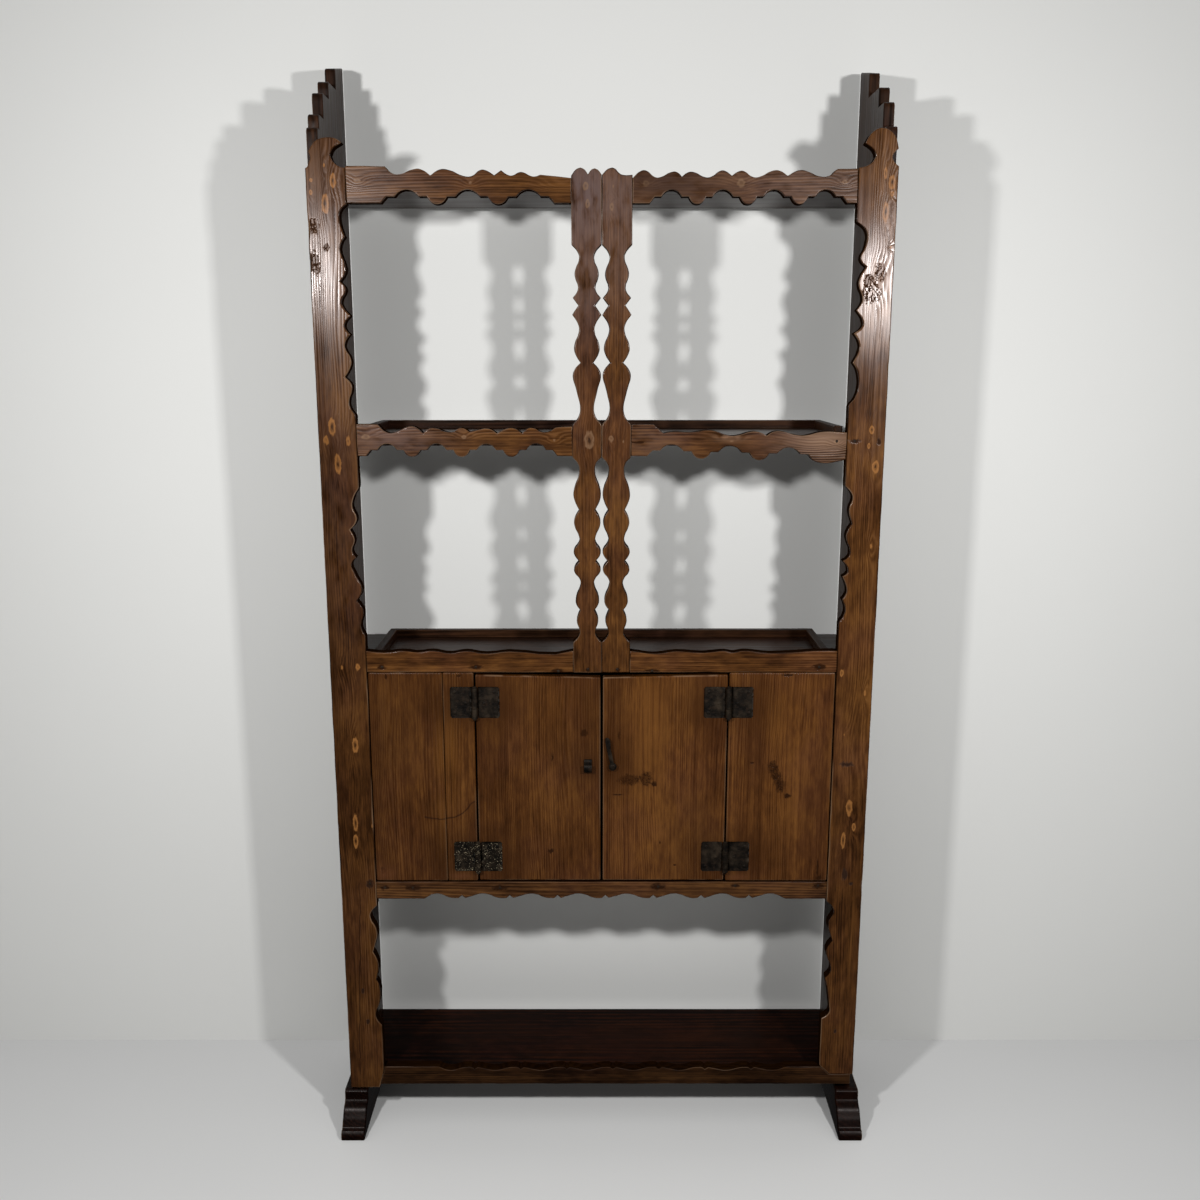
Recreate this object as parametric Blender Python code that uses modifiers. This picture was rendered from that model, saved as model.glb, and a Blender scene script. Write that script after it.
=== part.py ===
"""Plate rack cabinet: two carved open bays over a two-door cupboard, standing on sled feet.

Metres, +Z up, front towards -Y. The origin is on the floor, in the middle of the footprint.
"""

import math

import bmesh
import bpy

# Clearances
GAP = 0.0003
PANEL_GAP = 0.0012
DOOR_EDGE_GAP = 0.0015
DOOR_HEAD_GAP = 0.0050
DOOR_FOOT_GAP = 0.0025
MEETING_GAP = 0.0040
BOARD_GAP = 0.0006
PIN_CLEARANCE = 0.0003
KNUCKLE_GAP = 0.0004

# Overall box
WIDTH = 0.950
SIDE_DEPTH = 0.2147
SIDE_T = 0.018
FRAME_T = 0.020
LEFT_TOP = 1.932
RIGHT_TOP = 1.925

# Sled feet
FOOT_H = 0.075
FOOT_W = 0.044
FOOT_OVERHANG = 0.012
TOE = 0.048
FOOT_HEEL_RADIUS = 0.008
TENON_DEPTH = 0.025
TENON_SHOULDER = 0.040

# Shelf boards, by the height of their upper faces
BOARD_T = 0.018
DADO = 0.006
BOTTOM_LEVEL = 0.100
FLOOR_LEVEL = 0.510
CUPBOARD_LEVEL = 0.907
PLATE_LEVEL = 1.305
TOP_LEVEL = 1.7145

# Rails: height, and how far the upper edge stands above the board behind it
TOP_RAIL_H = 0.0565
TOP_RAIL_LIP = 0.018
PLATE_RAIL_H = 0.053
PLATE_RAIL_LIP = 0.019
CUPBOARD_RAIL_H = 0.0385
CUPBOARD_RAIL_LIP = 0.026
APRON_H = 0.0335
APRON_DROP = 0.0105
BASE_RAIL_H = 0.036
BASE_RAIL_LIP = 0.023

# Carved edges
ARCH_RISE = 0.019
SHOULDER_RISE = 0.010
WAVE_DIP = 0.006
BRACE_ARCH = 0.010
BRACE_CUSP = 0.007
BASE_ARCH = 0.007
BASE_CUSP = 0.005

# Stiles and balusters
STILE_W = 0.064
HEAD_LIP = 0.0155
LEFT_STILE_FOOT_GAP = 0.004
BASE_LAP = 0.0155
BASE_RAIL_END = 0.005
LAP_SLOPE = 0.019
LEFT_SLANT_W = 0.0095
LEFT_SLANT_H = 0.038
BALUSTER_W = 0.0485
BALUSTER_MID_GAP = 0.001
BALUSTER_HEAD_BLOCK = 0.117
BALUSTER_MID_LIP = 0.0155
BALUSTER_MID_BLOCK = 0.0495
BALUSTER_FOOT_BLOCK = 0.054
BALUSTER_CREST = 0.012

# Plate stops on the two plate shelves
STOP_H = 0.015
STOP_W = 0.014
STOP_BACK_INSET = 0.016
STOP_SIDE_INSET = 0.064

# Cupboard front and back
PANEL_T = 0.018
PANEL_SETBACK = 0.002
PANEL_W = 0.1850
NARROW_BOARD_W = 0.0545
BACK_BOARD_T = 0.012
BACK_BOARDS = 4

# Hinges
HINGE_H = 0.057
LEAF_W = 0.0435
LEAF_T = 0.0022
KNUCKLE_R = 0.0055
PIN_R = 0.0024
PIN_HEAD_R = 0.0042
PIN_HEAD_H = 0.002
PIN_TAIL = 0.003
HINGE_UP = 0.050
HINGE_DOWN = 0.047
BARREL_STANDOFF = 0.0005

# Latch: a bar that drops from the right door into a keeper on the left one
LATCH_Z = 0.722
LATCH_STUD_X = 0.0195
LATCH_REACH = 0.055
LATCH_ARM_H = 0.007
LATCH_TIP_H = 0.0095
LATCH_EYE_R = 0.0070
LATCH_T = 0.004
LATCH_LIFT_DEG = 78.0
STUD_R = 0.0028
STUD_COLLAR_R = 0.005
STUD_COLLAR_L = 0.0034
STUD_HEAD_R = 0.0052
STUD_HEAD_L = 0.0018
KEEPER_W = 0.014
KEEPER_PLATE_T = 0.0025
KEEPER_PLATE_H = 0.024
KEEPER_LEDGE_T = 0.0044
KEEPER_LIP_T = 0.0034
KEEPER_LIP_RISE = 0.0085
KEEPER_SIDE_PLAY = 0.0009

# Fineness of curves
CURVE_STEPS = 3
ROUND_SIDES = 16
CORNER_STEPS = 3

# Where things are, worked out from the sizes
SIDE_OUT = WIDTH / 2
SIDE_IN = SIDE_OUT - SIDE_T
STILE_IN = SIDE_OUT - STILE_W
DEPTH = TOE + FRAME_T + GAP + SIDE_DEPTH
FRONT = TOE - DEPTH / 2
BODY_FRONT = FRONT + FRAME_T + GAP
BACK = DEPTH / 2
BALUSTER_OUT = BALUSTER_MID_GAP / 2 + BALUSTER_W
TOP_RAIL_TOP = TOP_LEVEL + TOP_RAIL_LIP
HEAD_LEVEL = TOP_LEVEL + HEAD_LIP
PLATE_RAIL_TOP = PLATE_LEVEL + PLATE_RAIL_LIP
CUPBOARD_RAIL_TOP = CUPBOARD_LEVEL + CUPBOARD_RAIL_LIP
CUPBOARD_RAIL_FOOT = CUPBOARD_RAIL_TOP - CUPBOARD_RAIL_H
APRON_TOP = FLOOR_LEVEL - APRON_DROP
BASE_RAIL_TOP = BOTTOM_LEVEL + BASE_RAIL_LIP
PANEL_FOOT = APRON_TOP + PANEL_GAP
PANEL_TOP = CUPBOARD_RAIL_FOOT - PANEL_GAP
DOOR_FOOT = APRON_TOP + DOOR_FOOT_GAP
DOOR_TOP = CUPBOARD_RAIL_FOOT - DOOR_HEAD_GAP
PANEL_FACE = FRONT + PANEL_SETBACK
HINGE_X = STILE_IN - PANEL_GAP - PANEL_W - DOOR_EDGE_GAP
HINGE_Y = PANEL_FACE - KNUCKLE_R - BARREL_STANDOFF
HINGE_LEVELS = {"upper": DOOR_TOP - HINGE_UP, "lower": DOOR_FOOT + HINGE_DOWN}

# Bites along a stile's inner edge: share of the bay's height from its top, depth, cusp or not
SMOOTH, CUSP = "AUTO", "VECTOR"
BITES = {
    "left_upper": [
        (0.005, 0.000, CUSP), (0.03, 0.010, SMOOTH), (0.08, 0.012, SMOOTH), (0.147, 0.005, CUSP),
        (0.19, 0.013, SMOOTH), (0.30, 0.006, SMOOTH), (0.345, 0.016, CUSP), (0.38, 0.007, SMOOTH),
        (0.44, 0.015, SMOOTH), (0.50, 0.001, CUSP), (0.545, 0.012, SMOOTH), (0.585, 0.003, CUSP),
        (0.63, 0.013, SMOOTH), (0.71, 0.003, SMOOTH), (0.78, 0.015, CUSP), (0.82, 0.004, SMOOTH),
        (0.905, 0.010, SMOOTH), (0.965, 0.000, CUSP),
    ],
    "left_lower": [
        (0.150, 0.000, CUSP), (0.22, 0.011, SMOOTH), (0.25, 0.0125, SMOOTH), (0.32, 0.006, SMOOTH),
        (0.37, 0.018, CUSP), (0.42, 0.011, SMOOTH), (0.48, 0.016, SMOOTH), (0.513, 0.0095, CUSP),
        (0.545, 0.018, SMOOTH), (0.60, 0.0125, SMOOTH), (0.68, 0.002, SMOOTH), (0.736, 0.0115, CUSP),
        (0.79, 0.001, SMOOTH), (0.872, 0.0065, SMOOTH), (0.925, 0.000, CUSP),
    ],
    "left_bottom": [
        (0.04, 0.000, CUSP), (0.09, 0.013, SMOOTH), (0.19, 0.002, SMOOTH), (0.31, 0.011, CUSP),
        (0.38, 0.002, SMOOTH), (0.475, 0.007, CUSP), (0.51, 0.002, SMOOTH), (0.60, 0.002, SMOOTH),
        (0.69, 0.011, SMOOTH), (0.757, 0.000, CUSP),
    ],
    "right_upper": [
        (0.08, 0.000, CUSP), (0.125, 0.017, SMOOTH), (0.19, 0.016, SMOOTH), (0.245, 0.009, SMOOTH),
        (0.28, 0.019, CUSP), (0.35, 0.008, SMOOTH), (0.43, 0.015, SMOOTH), (0.475, 0.006, CUSP),
        (0.54, 0.018, SMOOTH), (0.58, 0.004, CUSP), (0.635, 0.014, SMOOTH), (0.715, 0.004, CUSP),
        (0.745, 0.011, SMOOTH), (0.855, 0.013, SMOOTH), (0.92, 0.000, CUSP),
    ],
    "right_lower": [
        (0.148, 0.000, CUSP), (0.20, 0.014, SMOOTH), (0.27, 0.009, SMOOTH), (0.34, 0.015, CUSP),
        (0.395, 0.006, SMOOTH), (0.50, 0.013, SMOOTH), (0.53, 0.002, CUSP), (0.585, 0.012, SMOOTH),
        (0.61, 0.003, CUSP), (0.69, 0.011, SMOOTH), (0.73, 0.004, CUSP), (0.785, 0.010, SMOOTH),
        (0.86, 0.000, CUSP),
    ],
    "right_bottom": [
        (0.012, 0.000, CUSP), (0.07, 0.014, SMOOTH), (0.145, 0.005, SMOOTH), (0.245, 0.014, CUSP),
        (0.30, 0.004, SMOOTH), (0.425, 0.013, SMOOTH), (0.463, 0.004, CUSP), (0.62, 0.013, SMOOTH),
        (0.675, 0.013, SMOOTH), (0.705, 0.000, CUSP),
    ],
}

# Carved heads of the stiles: share of the stile's width from its outer edge, height above the rail
HEADS = {
    "left": [
        (0.02, 0.000, CUSP), (0.13, 0.014, SMOOTH), (0.09, 0.024, CUSP), (0.30, 0.041, SMOOTH),
        (0.55, 0.046, SMOOTH), (0.81, 0.044, SMOOTH), (0.94, 0.038, CUSP), (0.64, 0.019, SMOOTH),
        (0.90, 0.001, CUSP),
    ],
    "right": [
        (0.00, 0.002, CUSP), (0.17, 0.016, SMOOTH), (0.03, 0.029, CUSP), (0.14, 0.049, SMOOTH),
        (0.42, 0.060, SMOOTH), (0.67, 0.055, SMOOTH), (0.87, 0.037, CUSP), (0.59, 0.017, SMOOTH),
        (0.91, 0.001, CUSP),
    ],
}

# Baluster outline: share of each carved length from its top, half width as a share of the block's
UPPER_TURNS = [
    (0.06, 0.50, SMOOTH), (0.16, 0.80, SMOOTH), (0.243, 0.58, SMOOTH), (0.288, 0.93, CUSP),
    (0.329, 0.55, CUSP), (0.38, 0.97, CUSP), (0.449, 0.51, SMOOTH), (0.572, 0.86, SMOOTH),
    (0.644, 0.43, CUSP), (0.702, 0.93, SMOOTH), (0.80, 0.70, SMOOTH), (0.925, 0.49, SMOOTH),
]
LOWER_TURNS = [
    (0.056, 0.54, SMOOTH), (0.208, 0.94, SMOOTH), (0.283, 0.56, CUSP), (0.342, 0.91, SMOOTH),
    (0.447, 0.55, SMOOTH), (0.506, 0.94, SMOOTH), (0.556, 0.58, CUSP), (0.602, 0.93, SMOOTH),
    (0.665, 0.48, SMOOTH), (0.78, 0.81, SMOOTH), (0.823, 0.49, CUSP), (0.876, 0.75, SMOOTH),
    (0.955, 0.55, SMOOTH),
]
BALUSTER_CRESTS = {
    "left": [(0.0, 0.00, CUSP), (0.30, 1.00, SMOOTH), (0.55, 0.15, CUSP), (0.77, 0.92, SMOOTH),
             (1.0, 0.15, CUSP)],
    "right": [(0.0, 0.10, CUSP), (0.33, 1.00, SMOOTH), (0.63, 0.15, SMOOTH), (1.0, 0.10, CUSP)],
}

# Steps of the side boards' tops: distance behind the front edge, drop below the top
STEP_RADIUS = 0.008
SIDE_STEPS = {
    "left": [(0.0, 0.137), (0.015, 0.114), (0.050, 0.074), (0.095, 0.047), (0.152, 0.013)],
    "right": [(0.0, 0.128), (0.027, 0.086), (0.066, 0.055), (0.143, 0.0155)],
}

# Moulded toe of a sled foot, from its top down: share of the toe's length before the front pieces,
# share of the foot's height below its top, cusp or not
TOE_PROFILE = [
    (-0.083, 0.000, CUSP), (0.042, 0.053, CUSP), (0.063, 0.253, CUSP), (0.167, 0.307, CUSP),
    (0.292, 0.347, SMOOTH), (0.542, 0.533, SMOOTH), (0.708, 0.693, SMOOTH), (0.771, 0.760, CUSP),
    (0.875, 0.760, CUSP), (0.979, 0.853, SMOOTH), (1.000, 0.900, SMOOTH), (0.958, 1.000, CUSP),
]

# Arcaded rails: arches along the lower edge, how far the first and the last stand from the ends, and
# the slow drop and the last lobe of the one that sags
ARCADES = {
    "top_rail_left": {"arches": 3, "first": 0.0965, "last": 0.069},
    "top_rail_right": {"arches": 4, "first": 0.063, "last": 0.051},
    "plate_rail_left": {"arches": 4, "first": 0.050, "last": 0.061},
    "plate_rail_right": {"arches": 3, "first": 0.0685, "last": 0.0965, "sag": 0.009, "tail": 0.004},
}

# Their upper edges: share of the length, drop below the rail's top, cusp or not
CRESTS = {
    "top_rail_left": [
        (0.175, 0.000, CUSP), (0.216, 0.012, SMOOTH), (0.328, 0.004, SMOOTH), (0.376, 0.014, CUSP),
        (0.425, 0.0045, SMOOTH), (0.553, 0.0155, SMOOTH), (0.606, 0.005, SMOOTH), (0.659, 0.0135, CUSP),
        (0.690, 0.006, CUSP), (0.730, 0.0145, SMOOTH), (0.779, 0.009, SMOOTH), (0.832, 0.0155, SMOOTH),
        (0.867, 0.013, CUSP), (1.0, 0.018, CUSP),
    ],
    "top_rail_right": [
        (0.0, 0.018, CUSP), (0.05, 0.006, SMOOTH), (0.105, 0.017, SMOOTH), (0.191, 0.0085, SMOOTH),
        (0.218, 0.016, CUSP), (0.253, 0.0085, SMOOTH), (0.338, 0.017, SMOOTH), (0.398, 0.0065, SMOOTH),
        (0.440, 0.0145, CUSP), (0.483, 0.007, SMOOTH), (0.540, 0.017, SMOOTH), (0.642, 0.006, SMOOTH),
        (0.687, 0.0145, CUSP), (0.740, 0.006, SMOOTH), (0.856, 0.016, SMOOTH), (0.911, 0.004, CUSP),
        (1.0, 0.0035, CUSP),
    ],
    "plate_rail_left": [
        (0.098, 0.000, CUSP), (0.145, 0.014, SMOOTH), (0.266, 0.004, SMOOTH), (0.308, 0.015, CUSP),
        (0.341, 0.006, SMOOTH), (0.439, 0.0135, SMOOTH), (0.486, 0.006, SMOOTH), (0.523, 0.0125, CUSP),
        (0.617, 0.008, SMOOTH), (0.65, 0.015, CUSP), (0.72, 0.006, SMOOTH), (0.766, 0.015, CUSP),
        (0.804, 0.006, SMOOTH), (0.874, 0.0135, SMOOTH), (0.93, 0.005, CUSP), (1.0, 0.0035, CUSP),
    ],
    "plate_rail_right": [
        (0.103, 0.000, CUSP), (0.15, 0.015, CUSP), (0.197, 0.012, SMOOTH), (0.268, 0.0135, SMOOTH),
        (0.371, 0.010, SMOOTH), (0.465, 0.019, SMOOTH), (0.582, 0.012, SMOOTH), (0.629, 0.019, CUSP),
        (0.662, 0.012, SMOOTH), (0.793, 0.019, SMOOTH), (0.887, 0.0125, SMOOTH), (1.0, 0.0135, CUSP),
    ],
}

# Wavy upper edges of the cupboard rails: share of the length, share of the dip's depth
WAVES = {
    "cupboard_rail_left": [(0.09, 0.5), (0.17, 0.0), (0.25, 0.4), (0.32, 0.0), (0.40, 0.7), (0.48, 0.1),
                           (0.57, 0.8), (0.70, 0.2), (0.90, 1.0)],
    "cupboard_rail_right": [(0.12, 0.9), (0.22, 0.2), (0.36, 0.6), (0.46, 0.1), (0.50, 0.5), (0.54, 0.1),
                            (0.68, 0.7), (0.80, 0.4), (0.90, 0.0)],
}
BRACES = {
    "apron": {"left_flat": 0.085, "right_flat": 0.073, "count": 7},
    "base": {"left_flat": 0.100, "right_flat": 0.119, "count": 7},
}


def clear_scene():
    for obj in list(bpy.data.objects):
        bpy.data.objects.remove(obj, do_unlink=True)


def collection(name):
    made = bpy.data.collections.new(name)
    bpy.context.scene.collection.children.link(made)
    return made


def material(name, colour, roughness, metallic=0.0):
    made = bpy.data.materials.new(name)
    made.use_nodes = True
    shader = made.node_tree.nodes["Principled BSDF"]
    shader.inputs["Base Color"].default_value = (*colour, 1.0)
    shader.inputs["Roughness"].default_value = roughness
    shader.inputs["Metallic"].default_value = metallic
    made.diffuse_color = (*colour, 1.0)
    return made


clear_scene()
PARTS = collection("plate_rack_cabinet")
CUTTERS = collection("cutters")
FRAME_WOOD = material("frame_wood", (0.115, 0.045, 0.020), 0.38)
DOOR_WOOD = material("door_wood", (0.170, 0.067, 0.018), 0.45)
SIDE_WOOD = material("side_wood", (0.060, 0.028, 0.016), 0.50)
DARK_WOOD = material("dark_wood", (0.022, 0.010, 0.007), 0.42)
IRON = material("forged_iron", (0.035, 0.028, 0.024), 0.58, 0.85)


def add_object(name, data, wood, location=(0, 0, 0), rotation=(0, 0, 0)):
    obj = bpy.data.objects.new(name, data)
    data.materials.clear()
    data.materials.append(wood)
    obj.location = location
    obj.rotation_euler = rotation
    PARTS.objects.link(obj)
    return obj


def boxes_mesh(name, boxes):
    """One mesh of plain boxes, each given by its lowest and highest corner."""
    bm = bmesh.new()
    for low, high in boxes:
        made = bmesh.ops.create_cube(bm, size=1.0)
        for vert in made["verts"]:
            for axis in range(3):
                middle = (low[axis] + high[axis]) / 2
                vert.co[axis] = middle + vert.co[axis] * (high[axis] - low[axis])
    mesh = bpy.data.meshes.new(name)
    bm.to_mesh(mesh)
    bm.free()
    return mesh


def board(name, low, high, wood):
    """A plain sawn board, with its origin at its middle."""
    middle = [(a + b) / 2 for a, b in zip(low, high)]
    half = [(b - a) / 2 for a, b in zip(low, high)]
    mesh = boxes_mesh(name, [([-h for h in half], half)])
    return add_object(name, mesh, wood, middle)


FACING_FRONT = (math.pi / 2, 0, 0)
FACING_SIDE = (math.pi / 2, 0, math.pi / 2)


def flat_outline(name, loops, thickness, wood, location, rotation):
    """A sawn board cut to an outline; each loop is a list of (along, up, handle) points."""
    curve = bpy.data.curves.new(name, "CURVE")
    curve.dimensions = "2D"
    curve.fill_mode = "BOTH"
    curve.resolution_u = CURVE_STEPS
    curve.extrude = thickness / 2
    for loop in loops:
        spline = curve.splines.new("BEZIER")
        spline.bezier_points.add(len(loop) - 1)
        spline.use_cyclic_u = True
        for point, (along, up, handle) in zip(spline.bezier_points, loop):
            point.co = (along, up, 0)
            point.handle_left_type = handle
            point.handle_right_type = handle
    return add_object(name, curve, wood, location, rotation)


def meshed(obj):
    """The same piece as a welded mesh, so that it can be cut."""
    bpy.context.view_layer.update()
    graph = bpy.context.evaluated_depsgraph_get()
    mesh = bpy.data.meshes.new_from_object(obj.evaluated_get(graph), depsgraph=graph)
    bm = bmesh.new()
    bm.from_mesh(mesh)
    bmesh.ops.remove_doubles(bm, verts=bm.verts, dist=1e-6)
    bmesh.ops.recalc_face_normals(bm, faces=bm.faces)
    bm.to_mesh(mesh)
    bm.free()
    name = obj.name
    wood = obj.data.materials[0]
    place = obj.matrix_world.copy()
    bpy.data.objects.remove(obj, do_unlink=True)
    made = add_object(name, mesh, wood)
    made.matrix_world = place
    return made


def cutter(name, mesh, location=(0, 0, 0), rotation=(0, 0, 0)):
    obj = bpy.data.objects.new(name, mesh)
    obj.location = location
    obj.rotation_euler = rotation
    obj.hide_render = True
    obj.display_type = "WIRE"
    CUTTERS.objects.link(obj)
    return obj


def combine(obj, other, operation):
    modifier = obj.modifiers.new(f"{operation.lower()} {other.name}", "BOOLEAN")
    modifier.operation = operation
    modifier.solver = "EXACT"
    modifier.object = other


def rod_mesh(name, radius, low, high):
    """A round bar along Z."""
    bm = bmesh.new()
    bmesh.ops.create_cone(
        bm, cap_ends=True, segments=ROUND_SIDES, radius1=radius, radius2=radius, depth=high - low
    )
    bmesh.ops.translate(bm, verts=bm.verts, vec=(0, 0, (low + high) / 2))
    mesh = bpy.data.meshes.new(name)
    bm.to_mesh(mesh)
    bm.free()
    return mesh


def turned(name, profile, wood, location, rotation=(0, 0, 0)):
    """A turned piece: (radius, height) points from the top down, closed on the axis."""
    mesh = bpy.data.meshes.new(name)
    points = [(0.0, profile[0][1]), *profile, (0.0, profile[-1][1])]
    edges = [(i, i + 1) for i in range(len(points) - 1)]
    mesh.from_pydata([(r, 0, z) for r, z in points], edges, [])
    obj = add_object(name, mesh, wood, location, rotation)
    screw = obj.modifiers.new("turn", "SCREW")
    screw.steps = ROUND_SIDES
    screw.render_steps = ROUND_SIDES
    screw.use_merge_vertices = True
    screw.merge_threshold = 1e-5
    return obj


def sharp(points):
    return [(along, up, CUSP) for along, up in points]


def corner_arc(centre, radius, start_deg, end_deg):
    """Points along an arc, both ends included."""
    points = []
    for i in range(CORNER_STEPS + 1):
        angle = math.radians(start_deg + (end_deg - start_deg) * i / CORNER_STEPS)
        points.append((centre[0] + radius * math.cos(angle), centre[1] + radius * math.sin(angle)))
    return points


def side_outline(steps, top):
    """Side board seen from the side, down to the end of its tenon: steps climb to the back."""
    foot = FOOT_H + GAP - TENON_DEPTH
    outline = [(0.0, foot), (SIDE_DEPTH, foot), (SIDE_DEPTH, top)]
    for back, drop in reversed(steps):
        outline += corner_arc((back + STEP_RADIUS, top - drop - STEP_RADIUS), STEP_RADIUS, 90, 180)
        lower = [d for b, d in steps if b < back]
        if lower:
            outline.append((back, top - min(lower)))
    return sharp(outline)


def make_side_board(side, sign, top):
    name = f"side_board_{side}"
    middle = sign * (SIDE_OUT - SIDE_T / 2)
    outline = side_outline(SIDE_STEPS[side], top)
    piece = flat_outline(name, [outline], SIDE_T, SIDE_WOOD, (middle, BODY_FRONT, 0), FACING_SIDE)
    piece = meshed(piece)
    inner = sorted((sign * (SIDE_IN - SIDE_T), sign * (SIDE_IN + DADO)))
    grooves = []
    for level in (BOTTOM_LEVEL, FLOOR_LEVEL, CUPBOARD_LEVEL, PLATE_LEVEL, TOP_LEVEL):
        low = (inner[0], BODY_FRONT - SIDE_T, level - BOARD_T - GAP)
        high = (inner[1], BACK + SIDE_T, level + GAP)
        grooves.append((low, high))
    whole = sorted((sign * (SIDE_IN - SIDE_T), sign * (SIDE_OUT + SIDE_T)))
    for front, rear in (
        (BODY_FRONT - SIDE_T, BODY_FRONT + TENON_SHOULDER),
        (BACK - TENON_SHOULDER, BACK + SIDE_T),
    ):
        grooves.append(((whole[0], front, 0.0), (whole[1], rear, FOOT_H + GAP)))
    combine(piece, cutter(f"{name}_grooves", boxes_mesh(f"{name}_grooves", grooves)), "DIFFERENCE")


def foot_outline():
    """Sled foot seen from the side: moulded toe in front, eased heel behind."""
    heel = FOOT_HEEL_RADIUS
    back = sharp(corner_arc((DEPTH - heel, FOOT_H - heel), heel, 0, 90))
    toe = [(TOE * (1 - ahead), FOOT_H * (1 - drop), handle) for ahead, drop, handle in TOE_PROFILE]
    return [(DEPTH, 0.0, CUSP), *back, *toe]


def make_foot(side, sign):
    name = f"foot_{side}"
    middle = sign * (SIDE_OUT + FOOT_OVERHANG - FOOT_W / 2)
    piece = flat_outline(name, [foot_outline()], FOOT_W, DARK_WOOD, (middle, -DEPTH / 2, 0), FACING_SIDE)
    piece = meshed(piece)
    across = sorted((sign * (SIDE_IN - GAP), sign * (SIDE_OUT + GAP)))
    low = (across[0], BODY_FRONT + TENON_SHOULDER - GAP, FOOT_H - TENON_DEPTH - GAP)
    high = (across[1], BACK - TENON_SHOULDER + GAP, FOOT_H + TENON_DEPTH)
    combine(piece, cutter(f"{name}_mortise", boxes_mesh(f"{name}_mortise", [(low, high)])), "DIFFERENCE")


def make_shelf_board(name, level, wood):
    """A board housed in the grooves of the two side boards."""
    reach = SIDE_IN + DADO - GAP
    board(name, (-reach, BODY_FRONT, level - BOARD_T), (reach, BACK, level), wood)


def bitten_edge(key, sign, bay_top, bay_foot):
    height = bay_top - bay_foot
    return [
        (sign * (STILE_IN + depth), bay_top - share * height, handle)
        for share, depth, handle in BITES[key]
    ]


def stile_outline(side, sign):
    """From the outer lower corner up the outer edge, over the head and down the carved inner edge."""
    outer, inner = sign * SIDE_OUT, sign * STILE_IN
    head = [
        (outer - sign * share * STILE_W, HEAD_LEVEL + up, handle)
        for share, up, handle in HEADS[side]
    ]
    edge = [(inner, HEAD_LEVEL, CUSP)]
    edge += bitten_edge(f"{side}_upper", sign, TOP_RAIL_TOP - TOP_RAIL_H, PLATE_RAIL_TOP)
    edge += bitten_edge(f"{side}_lower", sign, PLATE_RAIL_TOP - PLATE_RAIL_H, CUPBOARD_RAIL_TOP)
    edge += bitten_edge(f"{side}_bottom", sign, APRON_TOP - APRON_H, BASE_RAIL_TOP)
    if side == "left":
        foot = FOOT_H + LEFT_STILE_FOOT_GAP
        edge.append((inner, foot + LEFT_SLANT_H, CUSP))
        edge.append((inner + sign * LEFT_SLANT_W, foot, CUSP))
    else:
        foot = BASE_RAIL_TOP - BASE_LAP
        edge.append((inner, foot + LAP_SLOPE, CUSP))
        edge.append((inner + sign * LAP_SLOPE, foot, CUSP))
    return [(outer, foot, CUSP), (outer, HEAD_LEVEL - 2 * GAP, CUSP), *head, *edge]


def make_stile(side, sign):
    outline = stile_outline(side, sign)
    place = (0, FRONT + FRAME_T / 2, 0)
    flat_outline(f"stile_{side}", [outline], FRAME_T, FRAME_WOOD, place, FACING_FRONT)


def arcade_edges(name, length, height):
    """Lower and upper edge of an arcaded rail, left to right, from its lower left corner."""
    arches, first, last = (ARCADES[name][key] for key in ("arches", "first", "last"))
    pitch = (length - first - last) / (arches - 1)
    half = pitch / 2
    motif = [
        (-0.85, 0, SMOOTH), (-0.66, SHOULDER_RISE, CUSP), (-0.40, SHOULDER_RISE, CUSP),
        (-0.17, ARCH_RISE, SMOOTH), (0.17, ARCH_RISE, SMOOTH), (0.40, SHOULDER_RISE, CUSP),
        (0.66, SHOULDER_RISE, CUSP), (0.85, 0, SMOOTH),
    ]
    lower = []
    for i in range(arches):
        middle = first + i * pitch
        lower += [(middle + share * half, rise, handle) for share, rise, handle in motif]
    lower[0] = (*lower[0][:2], CUSP)
    lower[-1] = (*lower[-1][:2], CUSP)
    sag, tail = (ARCADES[name].get(key, 0) for key in ("sag", "tail"))
    if tail:
        lower.append((length - 0.4 * last, -tail, SMOOTH))
    lower = [(x, rise - sag * x / length, handle) for x, rise, handle in lower]
    upper = [(share * length, height - drop, handle) for share, drop, handle in CRESTS[name]]
    if upper[0][0] > 0:
        upper.insert(0, (0, height, CUSP))
    return [(0, 0, CUSP), *lower, (length, -(sag + tail) / 2, CUSP)], upper


def rail_span(side):
    """Where a half rail begins and ends, between its stile and its baluster."""
    inner, outer = BALUSTER_OUT + GAP, STILE_IN - GAP
    return (-outer, -inner) if side == "left" else (inner, outer)


def make_half_rail(name, start, edges, foot):
    lower, upper = edges
    outline = lower + upper[::-1]
    place = (start, FRONT + FRAME_T / 2, foot)
    flat_outline(name, [outline], FRAME_T, FRAME_WOOD, place, FACING_FRONT)


def make_arcaded_rails():
    for row, height, top in (
        ("top_rail", TOP_RAIL_H, TOP_RAIL_TOP),
        ("plate_rail", PLATE_RAIL_H, PLATE_RAIL_TOP),
    ):
        for side in ("left", "right"):
            start, end = rail_span(side)
            name = f"{row}_{side}"
            make_half_rail(name, start, arcade_edges(name, end - start, height), top - height)


def make_cupboard_rails():
    tall = CUPBOARD_RAIL_H
    for side in ("left", "right"):
        name = f"cupboard_rail_{side}"
        start, end = rail_span(side)
        length = end - start
        lower = sharp([(0, 0), (length, 0)])
        upper = [(share * length, tall - dip * WAVE_DIP, SMOOTH) for share, dip in WAVES[name]]
        upper = [(0, tall, CUSP), *upper, (length, tall, CUSP)]
        make_half_rail(name, start, (lower, upper), CUPBOARD_RAIL_FOOT)


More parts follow.
